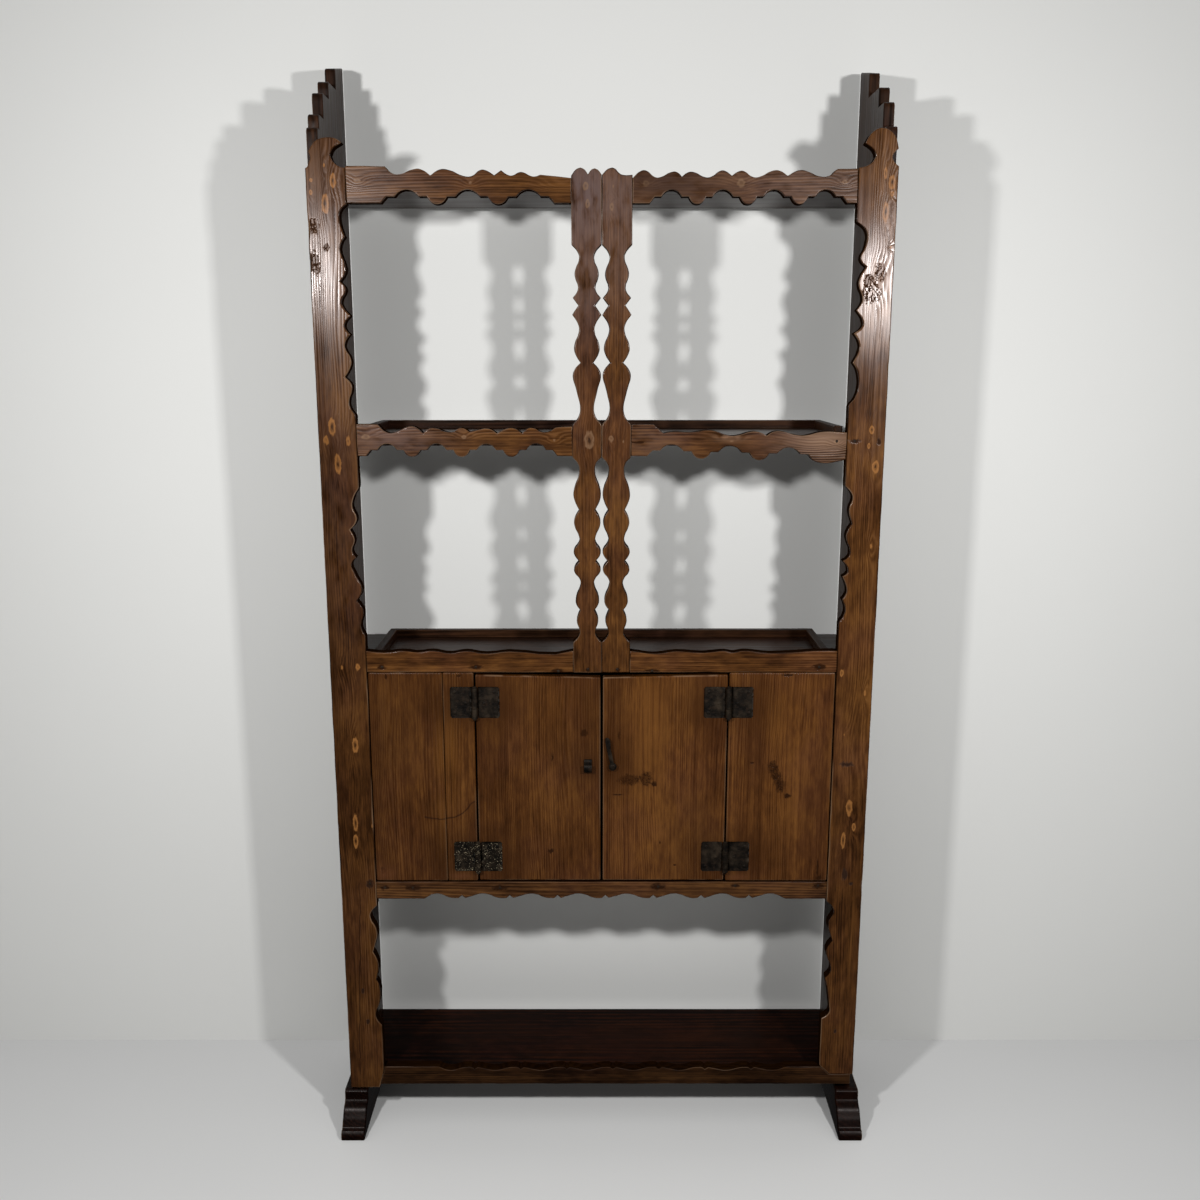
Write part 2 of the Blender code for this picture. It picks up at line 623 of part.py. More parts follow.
def brace_edge(start, end, level, bite, arch, cusp, left_flat, right_flat, count):
    """A flat-ended edge with a row of arches and cusps; bite is +1 to cut upwards, -1 downwards."""
    pitch = (end - start - left_flat - right_flat) / (count + 0.6)
    lobe = 0.2 * cusp
    motif = [(0.28, arch, SMOOTH), (0.60, lobe, SMOOTH), (0.74, lobe, CUSP), (0.81, cusp, CUSP),
             (0.88, lobe, CUSP)]
    edge = [(start + left_flat, level, CUSP)]
    for i in range(count):
        edge += [
            (start + left_flat + (i + share) * pitch, level + bite * depth, handle)
            for share, depth, handle in motif
        ]
    edge.append((start + left_flat + (count + 0.28) * pitch, level + bite * arch, SMOOTH))
    edge.append((end - right_flat, level, CUSP))
    return edge


def make_apron():
    """Rail under the cupboard, between the stiles, carved below."""
    start, end = -STILE_IN + GAP, STILE_IN - GAP
    foot = APRON_TOP - APRON_H
    carved = brace_edge(start, end, foot, 1, BRACE_ARCH, BRACE_CUSP, **BRACES["apron"])
    outline = [(start, foot, CUSP), *carved, *sharp([(end, foot), (end, APRON_TOP), (start, APRON_TOP)])]
    place = (0, FRONT + FRAME_T / 2, 0)
    flat_outline("apron_rail", [outline], FRAME_T, FRAME_WOOD, place, FACING_FRONT)


def make_base_rail():
    """Lip of the lowest shelf: slanted against the left stile, lapped under the right one."""
    foot = BASE_RAIL_TOP - BASE_RAIL_H
    slant_top = FOOT_H + LEFT_STILE_FOOT_GAP + LEFT_SLANT_H
    left_end = -STILE_IN + 2 * GAP
    left_toe = left_end - (slant_top - foot) * LEFT_SLANT_W / LEFT_SLANT_H
    right_end = SIDE_OUT - BASE_RAIL_END
    lap_top = BASE_RAIL_TOP - BASE_LAP - GAP
    lap_start = STILE_IN + LAP_SLOPE - 2 * GAP
    shoulder = lap_start - BASE_LAP
    carved = brace_edge(
        left_end, right_end, BASE_RAIL_TOP, -1, BASE_ARCH, BASE_CUSP, **BRACES["base"]
    )
    outline = sharp([(left_toe, foot), (right_end, foot), (right_end, lap_top)])
    outline += sharp([(lap_start, lap_top), (shoulder, BASE_RAIL_TOP)])
    outline += carved[::-1]
    outline += sharp([(left_end, BASE_RAIL_TOP), (left_end, slant_top)])
    place = (0, FRONT + FRAME_T / 2, 0)
    flat_outline("base_rail", [outline], FRAME_T, FRAME_WOOD, place, FACING_FRONT)


def baluster_edge(middle, sign, foot):
    """One long edge of a baluster, from the top down."""
    half = BALUSTER_W / 2
    head_foot = HEAD_LEVEL - BALUSTER_HEAD_BLOCK
    mid_top = PLATE_LEVEL + BALUSTER_MID_LIP
    mid_foot = mid_top - BALUSTER_MID_BLOCK
    foot_top = foot + BALUSTER_FOOT_BLOCK
    edge = [(middle + sign * half, head_foot, CUSP)]
    for turns, top, end in ((UPPER_TURNS, head_foot, mid_top), (LOWER_TURNS, mid_foot, foot_top)):
        for share, width, handle in turns:
            edge.append((middle + sign * width * half, top - share * (top - end), handle))
        edge.append((middle + sign * half, end, CUSP))
        if end == mid_top:
            edge.append((middle + sign * half, mid_foot, CUSP))
    edge.append((middle + sign * half, foot, CUSP))
    return edge


def make_baluster(side, sign):
    middle = sign * (BALUSTER_MID_GAP + BALUSTER_W) / 2
    foot = CUPBOARD_RAIL_FOOT
    crest_foot = HEAD_LEVEL - BALUSTER_CREST
    crest = [
        (middle + (share - 0.5) * BALUSTER_W, crest_foot + up * BALUSTER_CREST, handle)
        for share, up, handle in BALUSTER_CRESTS[side]
    ]
    right_edge = baluster_edge(middle, 1, foot)
    left_edge = baluster_edge(middle, -1, foot)
    outline = crest + right_edge + left_edge[::-1]
    place = (0, FRONT + FRAME_T / 2, 0)
    flat_outline(f"baluster_{side}", [outline], FRAME_T, FRAME_WOOD, place, FACING_FRONT)


def make_plate_stops(shelf, level):
    """Three battens round the back and ends of a plate shelf."""
    side_in = SIDE_IN - STOP_SIDE_INSET
    back = BACK - STOP_BACK_INSET
    low, high = level + GAP, level + GAP + STOP_H
    long_x = side_in + STOP_W
    board(f"{shelf}_stop_back", (-long_x, back - STOP_W, low), (long_x, back, high), SIDE_WOOD)
    for side, sign in (("left", -1), ("right", 1)):
        across = sorted((sign * side_in, sign * long_x))
        near = (across[0], BODY_FRONT, low)
        far = (across[1], back - STOP_W - GAP, high)
        board(f"{shelf}_stop_{side}", near, far, SIDE_WOOD)


def make_panels():
    """Fixed boards beside the doors: two on the left, one on the right."""
    edge = STILE_IN - PANEL_GAP
    rear = PANEL_FACE + PANEL_T
    inner = edge - PANEL_W
    split = inner + NARROW_BOARD_W
    for name, low, high in (
        ("panel_left_wide", -edge, -split - BOARD_GAP),
        ("panel_left_narrow", -split, -inner),
        ("panel_right", inner, edge),
    ):
        board(name, (low, PANEL_FACE, PANEL_FOOT), (high, rear, PANEL_TOP), DOOR_WOOD)


def make_back_boards():
    reach = SIDE_IN - GAP
    pitch = 2 * reach / BACK_BOARDS
    for i in range(BACK_BOARDS):
        low = (-reach + i * pitch, BACK - BACK_BOARD_T, FLOOR_LEVEL + GAP)
        high = (-reach + (i + 1) * pitch - BOARD_GAP, BACK, CUPBOARD_LEVEL - BOARD_T - GAP)
        board(f"cupboard_back_board_{i + 1}", low, high, SIDE_WOOD)


def pivot(name, location):
    empty = bpy.data.objects.new(name, None)
    empty.location = location
    PARTS.objects.link(empty)
    bpy.context.view_layer.update()
    return empty


def hang(obj, empty):
    """Parents a piece to its pivot without moving it."""
    bpy.context.view_layer.update()
    place = obj.matrix_world.copy()
    obj.parent = empty
    obj.matrix_parent_inverse = empty.matrix_world.inverted()
    obj.matrix_world = place


def make_door(side, sign, empty):
    outer, inner = HINGE_X - DOOR_EDGE_GAP, MEETING_GAP / 2
    across = sorted((sign * outer, sign * inner))
    low = (across[0], PANEL_FACE, DOOR_FOOT)
    high = (across[1], PANEL_FACE + PANEL_T, DOOR_TOP)
    hang(board(f"door_{side}", low, high, DOOR_WOOD), empty)


def leaf_mesh(name, direction, knuckles):
    """A hinge leaf round its pin: a plate to one side and the knuckles that hold the pin."""
    wood_face = KNUCKLE_R + BARREL_STANDOFF
    back, front = wood_face - GAP, wood_face - GAP - LEAF_T
    near = KNUCKLE_R + 2 * KNUCKLE_GAP

    def across(a, b):
        return sorted((direction * a, direction * b))

    x = across(near, LEAF_W)
    half = HINGE_H / 2
    plate = add_object(name, boxes_mesh(name, [((x[0], front, -half), (x[1], back, half))]), IRON)
    tools = []
    for i, (low, high) in enumerate(knuckles):
        tongue = across(0.0, near + LEAF_T)
        box = boxes_mesh("tongue", [((tongue[0], front, low), (tongue[1], back, high))])
        for mesh in (rod_mesh("knuckle", KNUCKLE_R, low, high), box):
            tools.append(cutter(f"{name}_{mesh.name}_{i}", mesh))
            combine(plate, tools[-1], "UNION")
    bore = rod_mesh("bore", PIN_R + PIN_CLEARANCE, -HINGE_H, HINGE_H)
    tools.append(cutter(f"{name}_bore", bore))
    combine(plate, tools[-1], "DIFFERENCE")
    finished = meshed(plate)
    mesh = finished.data
    for obj in (finished, *tools):
        bpy.data.objects.remove(obj, do_unlink=True)
    return mesh


def make_hinges(pivots):
    """Four surface hinges, each with two leaves and a loose pin."""
    half, third = HINGE_H / 2, HINGE_H / 6
    gap = KNUCKLE_GAP / 2
    fixed = leaf_mesh("fixed_leaf", -1, [(-half, -third - gap), (third + gap, half)])
    swinging = leaf_mesh("door_leaf", 1, [(-third + gap, third - gap)])
    top = half + GAP
    pin = [
        (PIN_HEAD_R * 0.6, top + PIN_HEAD_H), (PIN_HEAD_R, top + PIN_HEAD_H * 0.4), (PIN_HEAD_R, top),
        (PIN_R, top), (PIN_R, -half - PIN_TAIL),
    ]
    for side, sign in (("left", -1), ("right", 1)):
        turn = (0, 0, 0) if side == "left" else (0, math.pi, 0)
        for row, level in HINGE_LEVELS.items():
            place = (sign * HINGE_X, HINGE_Y, level)
            add_object(f"hinge_{side}_{row}_fixed_leaf", fixed, IRON, place, turn)
            hang(add_object(f"hinge_{side}_{row}_door_leaf", swinging, IRON, place, turn), pivots[side])
            turned(f"hinge_{side}_{row}_pin", pin, IRON, place)


def latch_bar_loops():
    """Bar with an eye round its stud, pointing to -X, and the hole through the eye."""
    arm, tip = LATCH_ARM_H / 2, LATCH_TIP_H / 2
    eye = LATCH_EYE_R
    neck = math.sqrt(eye**2 - arm**2)
    outline = [
        (-neck, arm, CUSP), (-LATCH_REACH * 0.62, arm, CUSP), (-LATCH_REACH * 0.74, tip, SMOOTH),
        (-LATCH_REACH * 0.93, tip, SMOOTH), (-LATCH_REACH, 0, SMOOTH),
        (-LATCH_REACH * 0.93, -0.7 * arm, SMOOTH), (-LATCH_REACH * 0.74, -arm, CUSP), (-neck, -arm, CUSP),
        (0, -eye, SMOOTH), (eye, 0, SMOOTH), (0, eye, SMOOTH),
    ]
    bore = STUD_R + PIN_CLEARANCE
    hole = [(bore, 0, SMOOTH), (0, -bore, SMOOTH), (-bore, 0, SMOOTH), (0, bore, SMOOTH)]
    return [outline, hole]


def make_latch(pivots):
    stud_place = (LATCH_STUD_X, PANEL_FACE, LATCH_Z)
    bar_back = STUD_COLLAR_L + GAP
    lift = math.radians(LATCH_LIFT_DEG)
    middle = PANEL_FACE - bar_back - LATCH_T / 2
    bar = flat_outline("latch_bar", latch_bar_loops(), LATCH_T, IRON,
                       (LATCH_STUD_X, middle, LATCH_Z), FACING_FRONT)
    bar.rotation_euler = (math.pi / 2, 0, 0)
    bar.rotation_euler.rotate_axis("Z", -lift)
    hang(bar, pivots["right"])

    head_foot = bar_back + LATCH_T + GAP
    stud = [
        (STUD_HEAD_R * 0.7, head_foot + STUD_HEAD_L), (STUD_HEAD_R, head_foot + STUD_HEAD_L * 0.4),
        (STUD_HEAD_R, head_foot), (STUD_R, head_foot), (STUD_R, STUD_COLLAR_L),
        (STUD_COLLAR_R, STUD_COLLAR_L), (STUD_COLLAR_R, GAP),
    ]
    hang(turned("latch_stud", stud, IRON, stud_place, (math.pi / 2, 0, 0)), pivots["right"])

    ledge_top = -LATCH_ARM_H / 2 - GAP
    ledge_foot = ledge_top - KEEPER_LEDGE_T
    plate = GAP + KEEPER_PLATE_T
    lip_back = bar_back + LATCH_T + KEEPER_SIDE_PLAY
    lip_front = lip_back + KEEPER_LIP_T
    high = KEEPER_PLATE_H / 2
    outline = sharp([
        (-GAP, -high), (-GAP, high), (-plate, high), (-plate, ledge_top), (-lip_back, ledge_top),
        (-lip_back, ledge_top + KEEPER_LIP_RISE), (-lip_front, ledge_top + KEEPER_LIP_RISE),
        (-lip_front, ledge_foot), (-plate, ledge_foot), (-plate, -high),
    ])
    keeper_x = LATCH_STUD_X - LATCH_REACH + KEEPER_W / 2 + LATCH_T
    place = (keeper_x, PANEL_FACE, LATCH_Z)
    keeper = flat_outline("latch_keeper", [outline], KEEPER_W, IRON, place, FACING_SIDE)
    hang(keeper, pivots["left"])


def build():
    for side, sign, top in (("left", -1, LEFT_TOP), ("right", 1, RIGHT_TOP)):
        make_side_board(side, sign, top)
        make_foot(side, sign)
        make_stile(side, sign)
        make_baluster(side, sign)
    make_shelf_board("top_board", TOP_LEVEL, SIDE_WOOD)
    make_shelf_board("plate_shelf_board", PLATE_LEVEL, SIDE_WOOD)
    make_shelf_board("cupboard_top_board", CUPBOARD_LEVEL, SIDE_WOOD)
    make_shelf_board("cupboard_floor_board", FLOOR_LEVEL, SIDE_WOOD)
    make_shelf_board("bottom_shelf_board", BOTTOM_LEVEL, DARK_WOOD)
    make_arcaded_rails()
    make_cupboard_rails()
    make_apron()
    make_base_rail()
    make_plate_stops("plate_shelf", PLATE_LEVEL)
    make_plate_stops("cupboard_top", CUPBOARD_LEVEL)
    make_panels()
    make_back_boards()
    pivots = {
        side: pivot(f"{side}_door_pivot", (sign * HINGE_X, HINGE_Y, (DOOR_TOP + DOOR_FOOT) / 2))
        for side, sign in (("left", -1), ("right", 1))
    }
    for side, sign in (("left", -1), ("right", 1)):
        make_door(side, sign, pivots[side])
    make_hinges(pivots)
    make_latch(pivots)


build()
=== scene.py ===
"""Looks of the plate rack cabinet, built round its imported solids.

Metres, +Z up, front towards -Y, in the same frame as the solids.
"""

import math

import bpy
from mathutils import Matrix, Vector, noise


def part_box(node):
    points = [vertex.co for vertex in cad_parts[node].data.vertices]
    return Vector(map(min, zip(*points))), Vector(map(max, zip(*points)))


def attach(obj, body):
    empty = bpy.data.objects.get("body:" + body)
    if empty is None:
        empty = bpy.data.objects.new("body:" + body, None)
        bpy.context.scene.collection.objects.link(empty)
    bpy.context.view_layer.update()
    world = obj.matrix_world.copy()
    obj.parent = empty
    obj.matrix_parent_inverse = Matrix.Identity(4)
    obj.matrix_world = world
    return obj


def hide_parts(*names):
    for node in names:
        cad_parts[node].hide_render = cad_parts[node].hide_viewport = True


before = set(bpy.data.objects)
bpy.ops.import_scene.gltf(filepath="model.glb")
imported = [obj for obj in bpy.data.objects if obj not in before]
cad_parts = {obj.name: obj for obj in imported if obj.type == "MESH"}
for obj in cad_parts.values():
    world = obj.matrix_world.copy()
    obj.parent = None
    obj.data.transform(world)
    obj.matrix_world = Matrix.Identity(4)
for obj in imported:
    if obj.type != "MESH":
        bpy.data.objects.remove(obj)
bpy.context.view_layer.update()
scene = bpy.context.scene
scene.view_settings.view_transform = "Standard"

FACING_FRONT = Vector((0, -1, 0))
FACING_LEFT = Vector((-1, 0, 0))
FACING_RIGHT = Vector((1, 0, 0))
UP = Vector((0, 0, 1))

# Outlines: a turn sharper than this is a corner, and the spacing of points on curves and straights
CORNER_TURN = math.radians(38)
CURVE_STEP = 0.0017
STRAIGHT_STEP = 0.006
LONGEST_ON_CURVE = 0.022

# The back boards touch, and so do the balusters, so that no light comes through between them
BACK_BOARD_LAP = 0.0004
BALUSTER_LAP = 0.0004

# The doors have dropped towards the middle, and their upper edges slope over this depth
DOOR_DROOP = 0.0048
DROOP_DEPTH = 0.05

# How dark a sawn edge is, by the angle of its rounding from the side (0) to the face (90): partly the darker sawn wood,
# partly painted shade that outlines the edges
SAWN_AND_PAINTED_SHADE = {0: 1.0, 32: 1.0, 62: 0.8, 90: 0.0}
# Rounded edges rising more than this stay light where asked: painted light on upward edges
PAINTED_LIGHT_RISE = 0.25

# Colours of the woods, linear: dark grain, main colour, pale grain
FRAME_TONES = [(0.022, 0.0080, 0.0023), (0.064, 0.0242, 0.0063), (0.125, 0.051, 0.0124)]
DOOR_TONES = [(0.036, 0.0120, 0.0028), (0.080, 0.0278, 0.0064), (0.155, 0.060, 0.0120)]
SIDE_TONES = [(0.007, 0.0030, 0.0013), (0.020, 0.0078, 0.0032), (0.040, 0.016, 0.0065)]
DARK_TONES = [(0.0026, 0.0010, 0.0006), (0.008, 0.0027, 0.0013), (0.026, 0.0076, 0.0030)]
COOLER = (0.84, 0.80, 1.15)
KNOT_RING = (0.27, 0.115, 0.032)
KNOT_HEART = (0.014, 0.005, 0.0022)
DULL_KNOT = (0.20, 0.118, 0.066)
SPOT = (0.018, 0.0066, 0.0024)
RUST = (0.085, 0.030, 0.011)
# Pale colour of the painted sheen on the right plate rail's end
PALE_SHEEN_TINT = (0.25, 0.155, 0.10)
# Grey-purple of the painted sheen on the upper parts
DUSKY_SHEEN_TINT = (0.105, 0.074, 0.070)
# Pale colour of rubbed edges: partly real wear, partly a painted highlight on the rounded edges
WORN_AND_GLINT = (0.15, 0.085, 0.046)

# Knots in millimetres: across, along the grain, width, length, and how faint it is (0 is the brightest)
KNOTS = {
    "stile_left": [
        (-444, 1734, 10, 22, 0.70), (-466, 1711, 7, 10, 0.30), (-467, 1693, 7, 13, 0.30),
        (-431, 1710, 10, 24, 0.00), (-445, 1675, 12, 32, 0.00), (-451, 1320, 12, 30, 0.00),
        (-462, 1298, 16, 30, 0.45), (-425, 1296, 15, 30, 0.45), (-444, 1258, 11, 34, 0.00),
        (-454, 903, 14, 27, 0.70), (-426, 904, 14, 28, 0.45), (-437, 761, 11, 29, 0.00),
        (-443, 614, 9, 33, 0.00), (-444, 579, 9, 28, 0.00), (-413, 608, 8, 18, 0.60),
    ],
    "stile_right": [
        (454, 1722, 8, 28, 0.30), (465, 1708, 12, 22, 0.00), (466, 1690, 8, 11, 0.20),
        (457, 1662, 10, 32, 0.00), (468, 1608, 6, 8, 0.40),
        (452, 1315, 9, 14, 0.00), (448, 1288, 7, 15, 0.30),
        (461, 1253, 12, 22, 0.00), (460, 1118, 9, 20, 0.65), (420, 894, 10, 20, 0.30),
        (462, 857, 7, 20, 0.40), (429, 780, 9, 16, 0.70), (444, 643, 14, 34, 0.10),
        (454, 606, 8, 18, 0.10), (436, 581, 8, 34, 0.00),
    ],
    "baluster_left": [(-26, 1702, 12, 17, 0.20), (-23, 1675, 9, 18, 0.20), (-21, 1298, 17, 31, 0.00)],
    "baluster_right": [(18, 1702, 10, 22, 0.65), (16, 1670, 8, 16, 0.20), (16, 1300, 13, 17, 0.30),
                       (36, 1295, 8, 13, 0.60)],
    "top_rail_left": [(1710, -392, 10, 14, 0.20), (1707, -211, 10, 14, 0.60)],
    "top_rail_right": [(1706, 71, 14, 15, 0.30), (1707, 223, 22, 20, 0.35), (1708, 389, 9, 12, 0.25)],
    "plate_rail_left": [(1303, -395, 12, 20, 0.25), (1303, -231, 13, 16, 0.45), (1298, -80, 12, 14, 0.60)],
    "plate_rail_right": [(1296, 218, 8, 22, 0.70), (1295, 394, 10, 12, 0.20)],
}

# Dark spots in the same units: nail stains, pitch pockets and dents
SPOTS = {
    "stile_left": [(-422, 496, 14, 18, 0.0), (-444, 281, 6, 12, 0.1), (-437, 217, 7, 12, 0.1),
                   (-470, 1646, 4, 12, 0.3), (-471, 1594, 4, 14, 0.3)],
    "stile_right": [(424, 1296, 20, 8, 0.1), (465, 1295, 9, 14, 0.2), (436, 725, 34, 14, 0.3),
                    (441, 513, 10, 22, 0.0), (454, 496, 8, 9, 0.1), (438, 198, 7, 10, 0.2)],
    "baluster_left": [(-24, 899, 9, 9, 0.0)],
    "baluster_right": [(28, 899, 9, 9, 0.0)],
    "cupboard_rail_left": [(904, -384, 11, 18, 0.1), (904, -220, 10, 24, 0.0), (897, -76, 9, 24, 0.0)],
    "cupboard_rail_right": [(897, 88, 8, 32, 0.0), (904, 380, 12, 24, 0.1)],
    "plate_rail_right": [(1294, 62, 4, 24, 0.0)],
    "apron_rail": [(488, -395, 10, 20, 0.1), (488, -344, 11, 28, 0.0), (488, -185, 11, 28, 0.0),
                   (490, 103, 13, 26, 0.0), (492, 243, 8, 20, 0.1), (492, 394, 12, 22, 0.0)],
    "panel_left_wide": [(-397, 521, 12, 15, 0.1), (-378, 886, 5, 12, 0.1)],
    "panel_left_narrow": [(-250, 888, 12, 8, 0.3)],
    "door_left": [(-31, 783, 13, 15, 0.1), (-87, 738, 10, 30, 0.55), (-92, 559, 15, 15, 0.25)],
    "door_right": [
        (94, 687, 13, 11, 0.2), (29, 667, 30, 5, 0.4), (30, 779, 9, 32, 0.5), (105, 576, 5, 12, 0.4), (133, 532, 8, 5, 0.3),
    ],
    "panel_right": [
        (332, 665, 15, 11, 0.15), (268, 727, 11, 5, 0.3), (392, 524, 4, 34, 0.0),
        (394, 506, 14, 14, 0.2), (326, 889, 26, 6, 0.2),
    ],
}

# Old knots and burls with dark wandering lines, in the same units, with their darkness
BURLS = {
    "stile_left": [(-465, 1641, 14, 22, 0.12), (-466, 1583, 14, 32, 0.15), (-446, 1608, 8, 12, 0.2)],
    "stile_right": [(435, 1557, 14, 18, 0.15), (453, 1568, 17, 24, 0.10), (440, 1537, 26, 30, 0.0)],
    "door_right": [(50, 695, 36, 18, 0.62), (79, 697, 20, 25, 0.62)],
    "panel_right": [(304, 719, 14, 22, 0.60), (309, 708, 15, 25, 0.60), (314, 697, 15, 25, 0.60),
                    (320, 684, 14, 24, 0.60)],
}

# Bent grain: across, along, width, length, and the number of rings round the place
SWIRLS = {
    "stile_left": [(-440, 1490, 60, 260, 2.0), (-445, 700, 60, 220, 2.0), (-440, 1060, 50, 300, 1.6)],
    "stile_right": [(438, 752, 44, 150, 4.0), (447, 1556, 42, 60, 3.0), (440, 1180, 50, 260, 2.0)],
    "door_left": [(-120, 640, 90, 420, 2.2), (-60, 800, 70, 240, 2.0)],
    "door_right": [(90, 790, 60, 260, 3.0), (60, 640, 110, 260, 2.2), (150, 640, 60, 300, 1.6)],
    "panel_left_wide": [(-350, 700, 90, 300, 2.5)],
    "panel_right": [(312, 700, 60, 200, 3.0), (370, 780, 70, 260, 2.0)],
    "top_rail_left": [(1703, -66, 26, 56, 3.0)],
    "plate_rail_right": [(1296, 350, 50, 90, 2.5), (1292, 215, 30, 60, 2.0)],
}

# Soft dark stains in the same units, with their strength: round the hinges and the latch, and along edges
STAINS = {
    "panel_left_wide": [(-290, 838, 70, 80, 0.6), (-290, 548, 70, 90, 0.6), (-400, 690, 40, 420, 0.35),
                        (-375, 790, 90, 170, 0.35)],
    "panel_left_narrow": [(-245, 838, 95, 86, 0.75), (-245, 548, 95, 96, 0.75)],
    "door_left": [(-195, 838, 110, 90, 0.75), (-198, 548, 105, 95, 0.7), (-20, 722, 66, 80, 0.7),
                  (-190, 720, 60, 190, 0.3), (-20, 830, 60, 120, 0.45), (-70, 740, 60, 90, 0.25)],
    "door_right": [(195, 838, 110, 96, 0.75), (198, 548, 110, 96, 0.7), (22, 722, 70, 80, 0.7),
                   (20, 800, 40, 180, 0.5), (170, 625, 70, 130, 0.35), (20, 860, 50, 60, 0.3)],
    "panel_right": [(252, 838, 100, 92, 0.75), (252, 548, 95, 96, 0.7), (392, 640, 50, 330, 0.3),
                    (268, 735, 50, 120, 0.4)],
    "top_rail_right": [(1705, 110, 70, 150, 0.65)],
    "stile_left": [(-468, 880, 16, 700, 0.40), (-444, 1285, 50, 60, 0.30)],
}

# Paler, golden bands in the same units, those on the right plate rail's end being painted sheen; then painted sheen
# patches, pale and grey-purple; and rusty patches
PALE_BANDS_AND_SHEENS = {
    "panel_left_wide": [(-284, 755, 26, 110, 0.70), (-288, 640, 22, 50, 0.60), (-282, 580, 22, 70, 0.55),
                        (-382, 850, 50, 66, 0.20), (-366, 735, 50, 90, 0.15)],
    "panel_left_narrow": [(-268, 762, 24, 120, 0.75), (-268, 640, 22, 70, 0.55)],
    "door_left": [(-64, 850, 90, 66, 0.30), (-150, 850, 56, 56, 0.25), (-21, 692, 16, 28, 0.50),
                  (-20, 850, 10, 50, 0.40), (-80, 770, 40, 90, 0.15), (-95, 620, 50, 120, 0.25)],
    "door_right": [(88, 825, 56, 110, 0.75), (77, 745, 50, 66, 0.60), (150, 850, 34, 66, 0.30),
                   (69, 672, 28, 36, 0.50), (69, 610, 50, 90, 0.20), (33, 545, 44, 66, 0.40),
                   (30, 720, 50, 220, 0.30)],
    "panel_right": [(308, 800, 32, 100, 0.55), (348, 862, 42, 36, 0.40), (345, 690, 24, 80, 0.35),
                    (339, 619, 50, 70, 0.20), (318, 640, 36, 260, 0.35)],
    "bottom_shelf_board": [(20, 150, 110, 420, 0.60), (60, -180, 70, 200, 0.35)],
    "stile_left": [(-451, 258, 10, 90, 0.50), (-448, 1710, 80, 130, 0.35)],
    "stile_right": [(459, 375, 10, 130, 0.60), (448, 1710, 80, 130, 0.20)],
    # Painted sheen on the right plate rail's end
    "plate_rail_right": [(1297, 370, 30, 90, 0.50), (1297, 250, 20, 60, 0.30)],
    "top_rail_left": [(1704, -66, 26, 60, 0.70), (1704, -150, 40, 120, 0.20)],
}
# Painted sheen: pale patches standing in for the reflection on the right plate rail's end
PAINTED_PALE_SHEENS = {
    "plate_rail_right": [(1297, 372, 40, 80, 0.60), (1302, 215, 12, 40, 0.35)],
}
# Painted sheen: grey-purple patches standing in for the lamps' reflection on the balusters' heads, the rails' ends and
# the left stile, with strength
PAINTED_DUSKY_SHEENS = {
    "stile_left": [(-445, 1130, 130, 400, 0.09)],
    "baluster_left": [(-25, 1690, 130, 130, 0.75), (-25, 1560, 130, 150, 0.45)],
    "baluster_right": [(25, 1690, 130, 110, 0.55), (25, 1580, 130, 130, 0.30)],
    "top_rail_left": [(1705, -370, 80, 110, 0.12)],
    "top_rail_right": [(1705, 110, 80, 160, 0.45), (1705, 300, 80, 140, 0.30)],
    "plate_rail_left": [(1298, -350, 70, 130, 0.40)],
    "plate_rail_right": [(1298, 90, 70, 90, 0.25), (1298, 340, 70, 120, 0.30)],
}
RUSTS = {
    "panel_left_wide": [(-394, 514, 34, 26, 0.65)],
    "panel_left_narrow": [(-256, 510, 30, 10, 0.75)],
    "panel_right": [(248, 508, 28, 10, 0.75)],
}

# Cracks in millimetres: across and along at each end, and width
CRACKS = {
    "stile_left": [(-441, 503, -457, 82, 1.6)],
    "panel_left_wide": [(-319, 625, -290, 619, 2.2), (-293, 619, -279, 621, 2.2)],
    "panel_left_narrow": [(-281, 621, -262, 624, 2.2), (-265, 623, -247, 634, 2.0), (-250, 632, -235, 649, 1.8),
                          (-238, 648, -226, 654, 1.5)],
}

# Chips on the edges of the stiles in millimetres: across, up, size, depth
CHIPS = {
    "stile_left": [(-474, 1640, 16, 3.0), (-474, 1583, 16, 3.5)],
    "stile_right": [(474, 492, 10, 3.0), (473, 1420, 12, 2.0)],
}


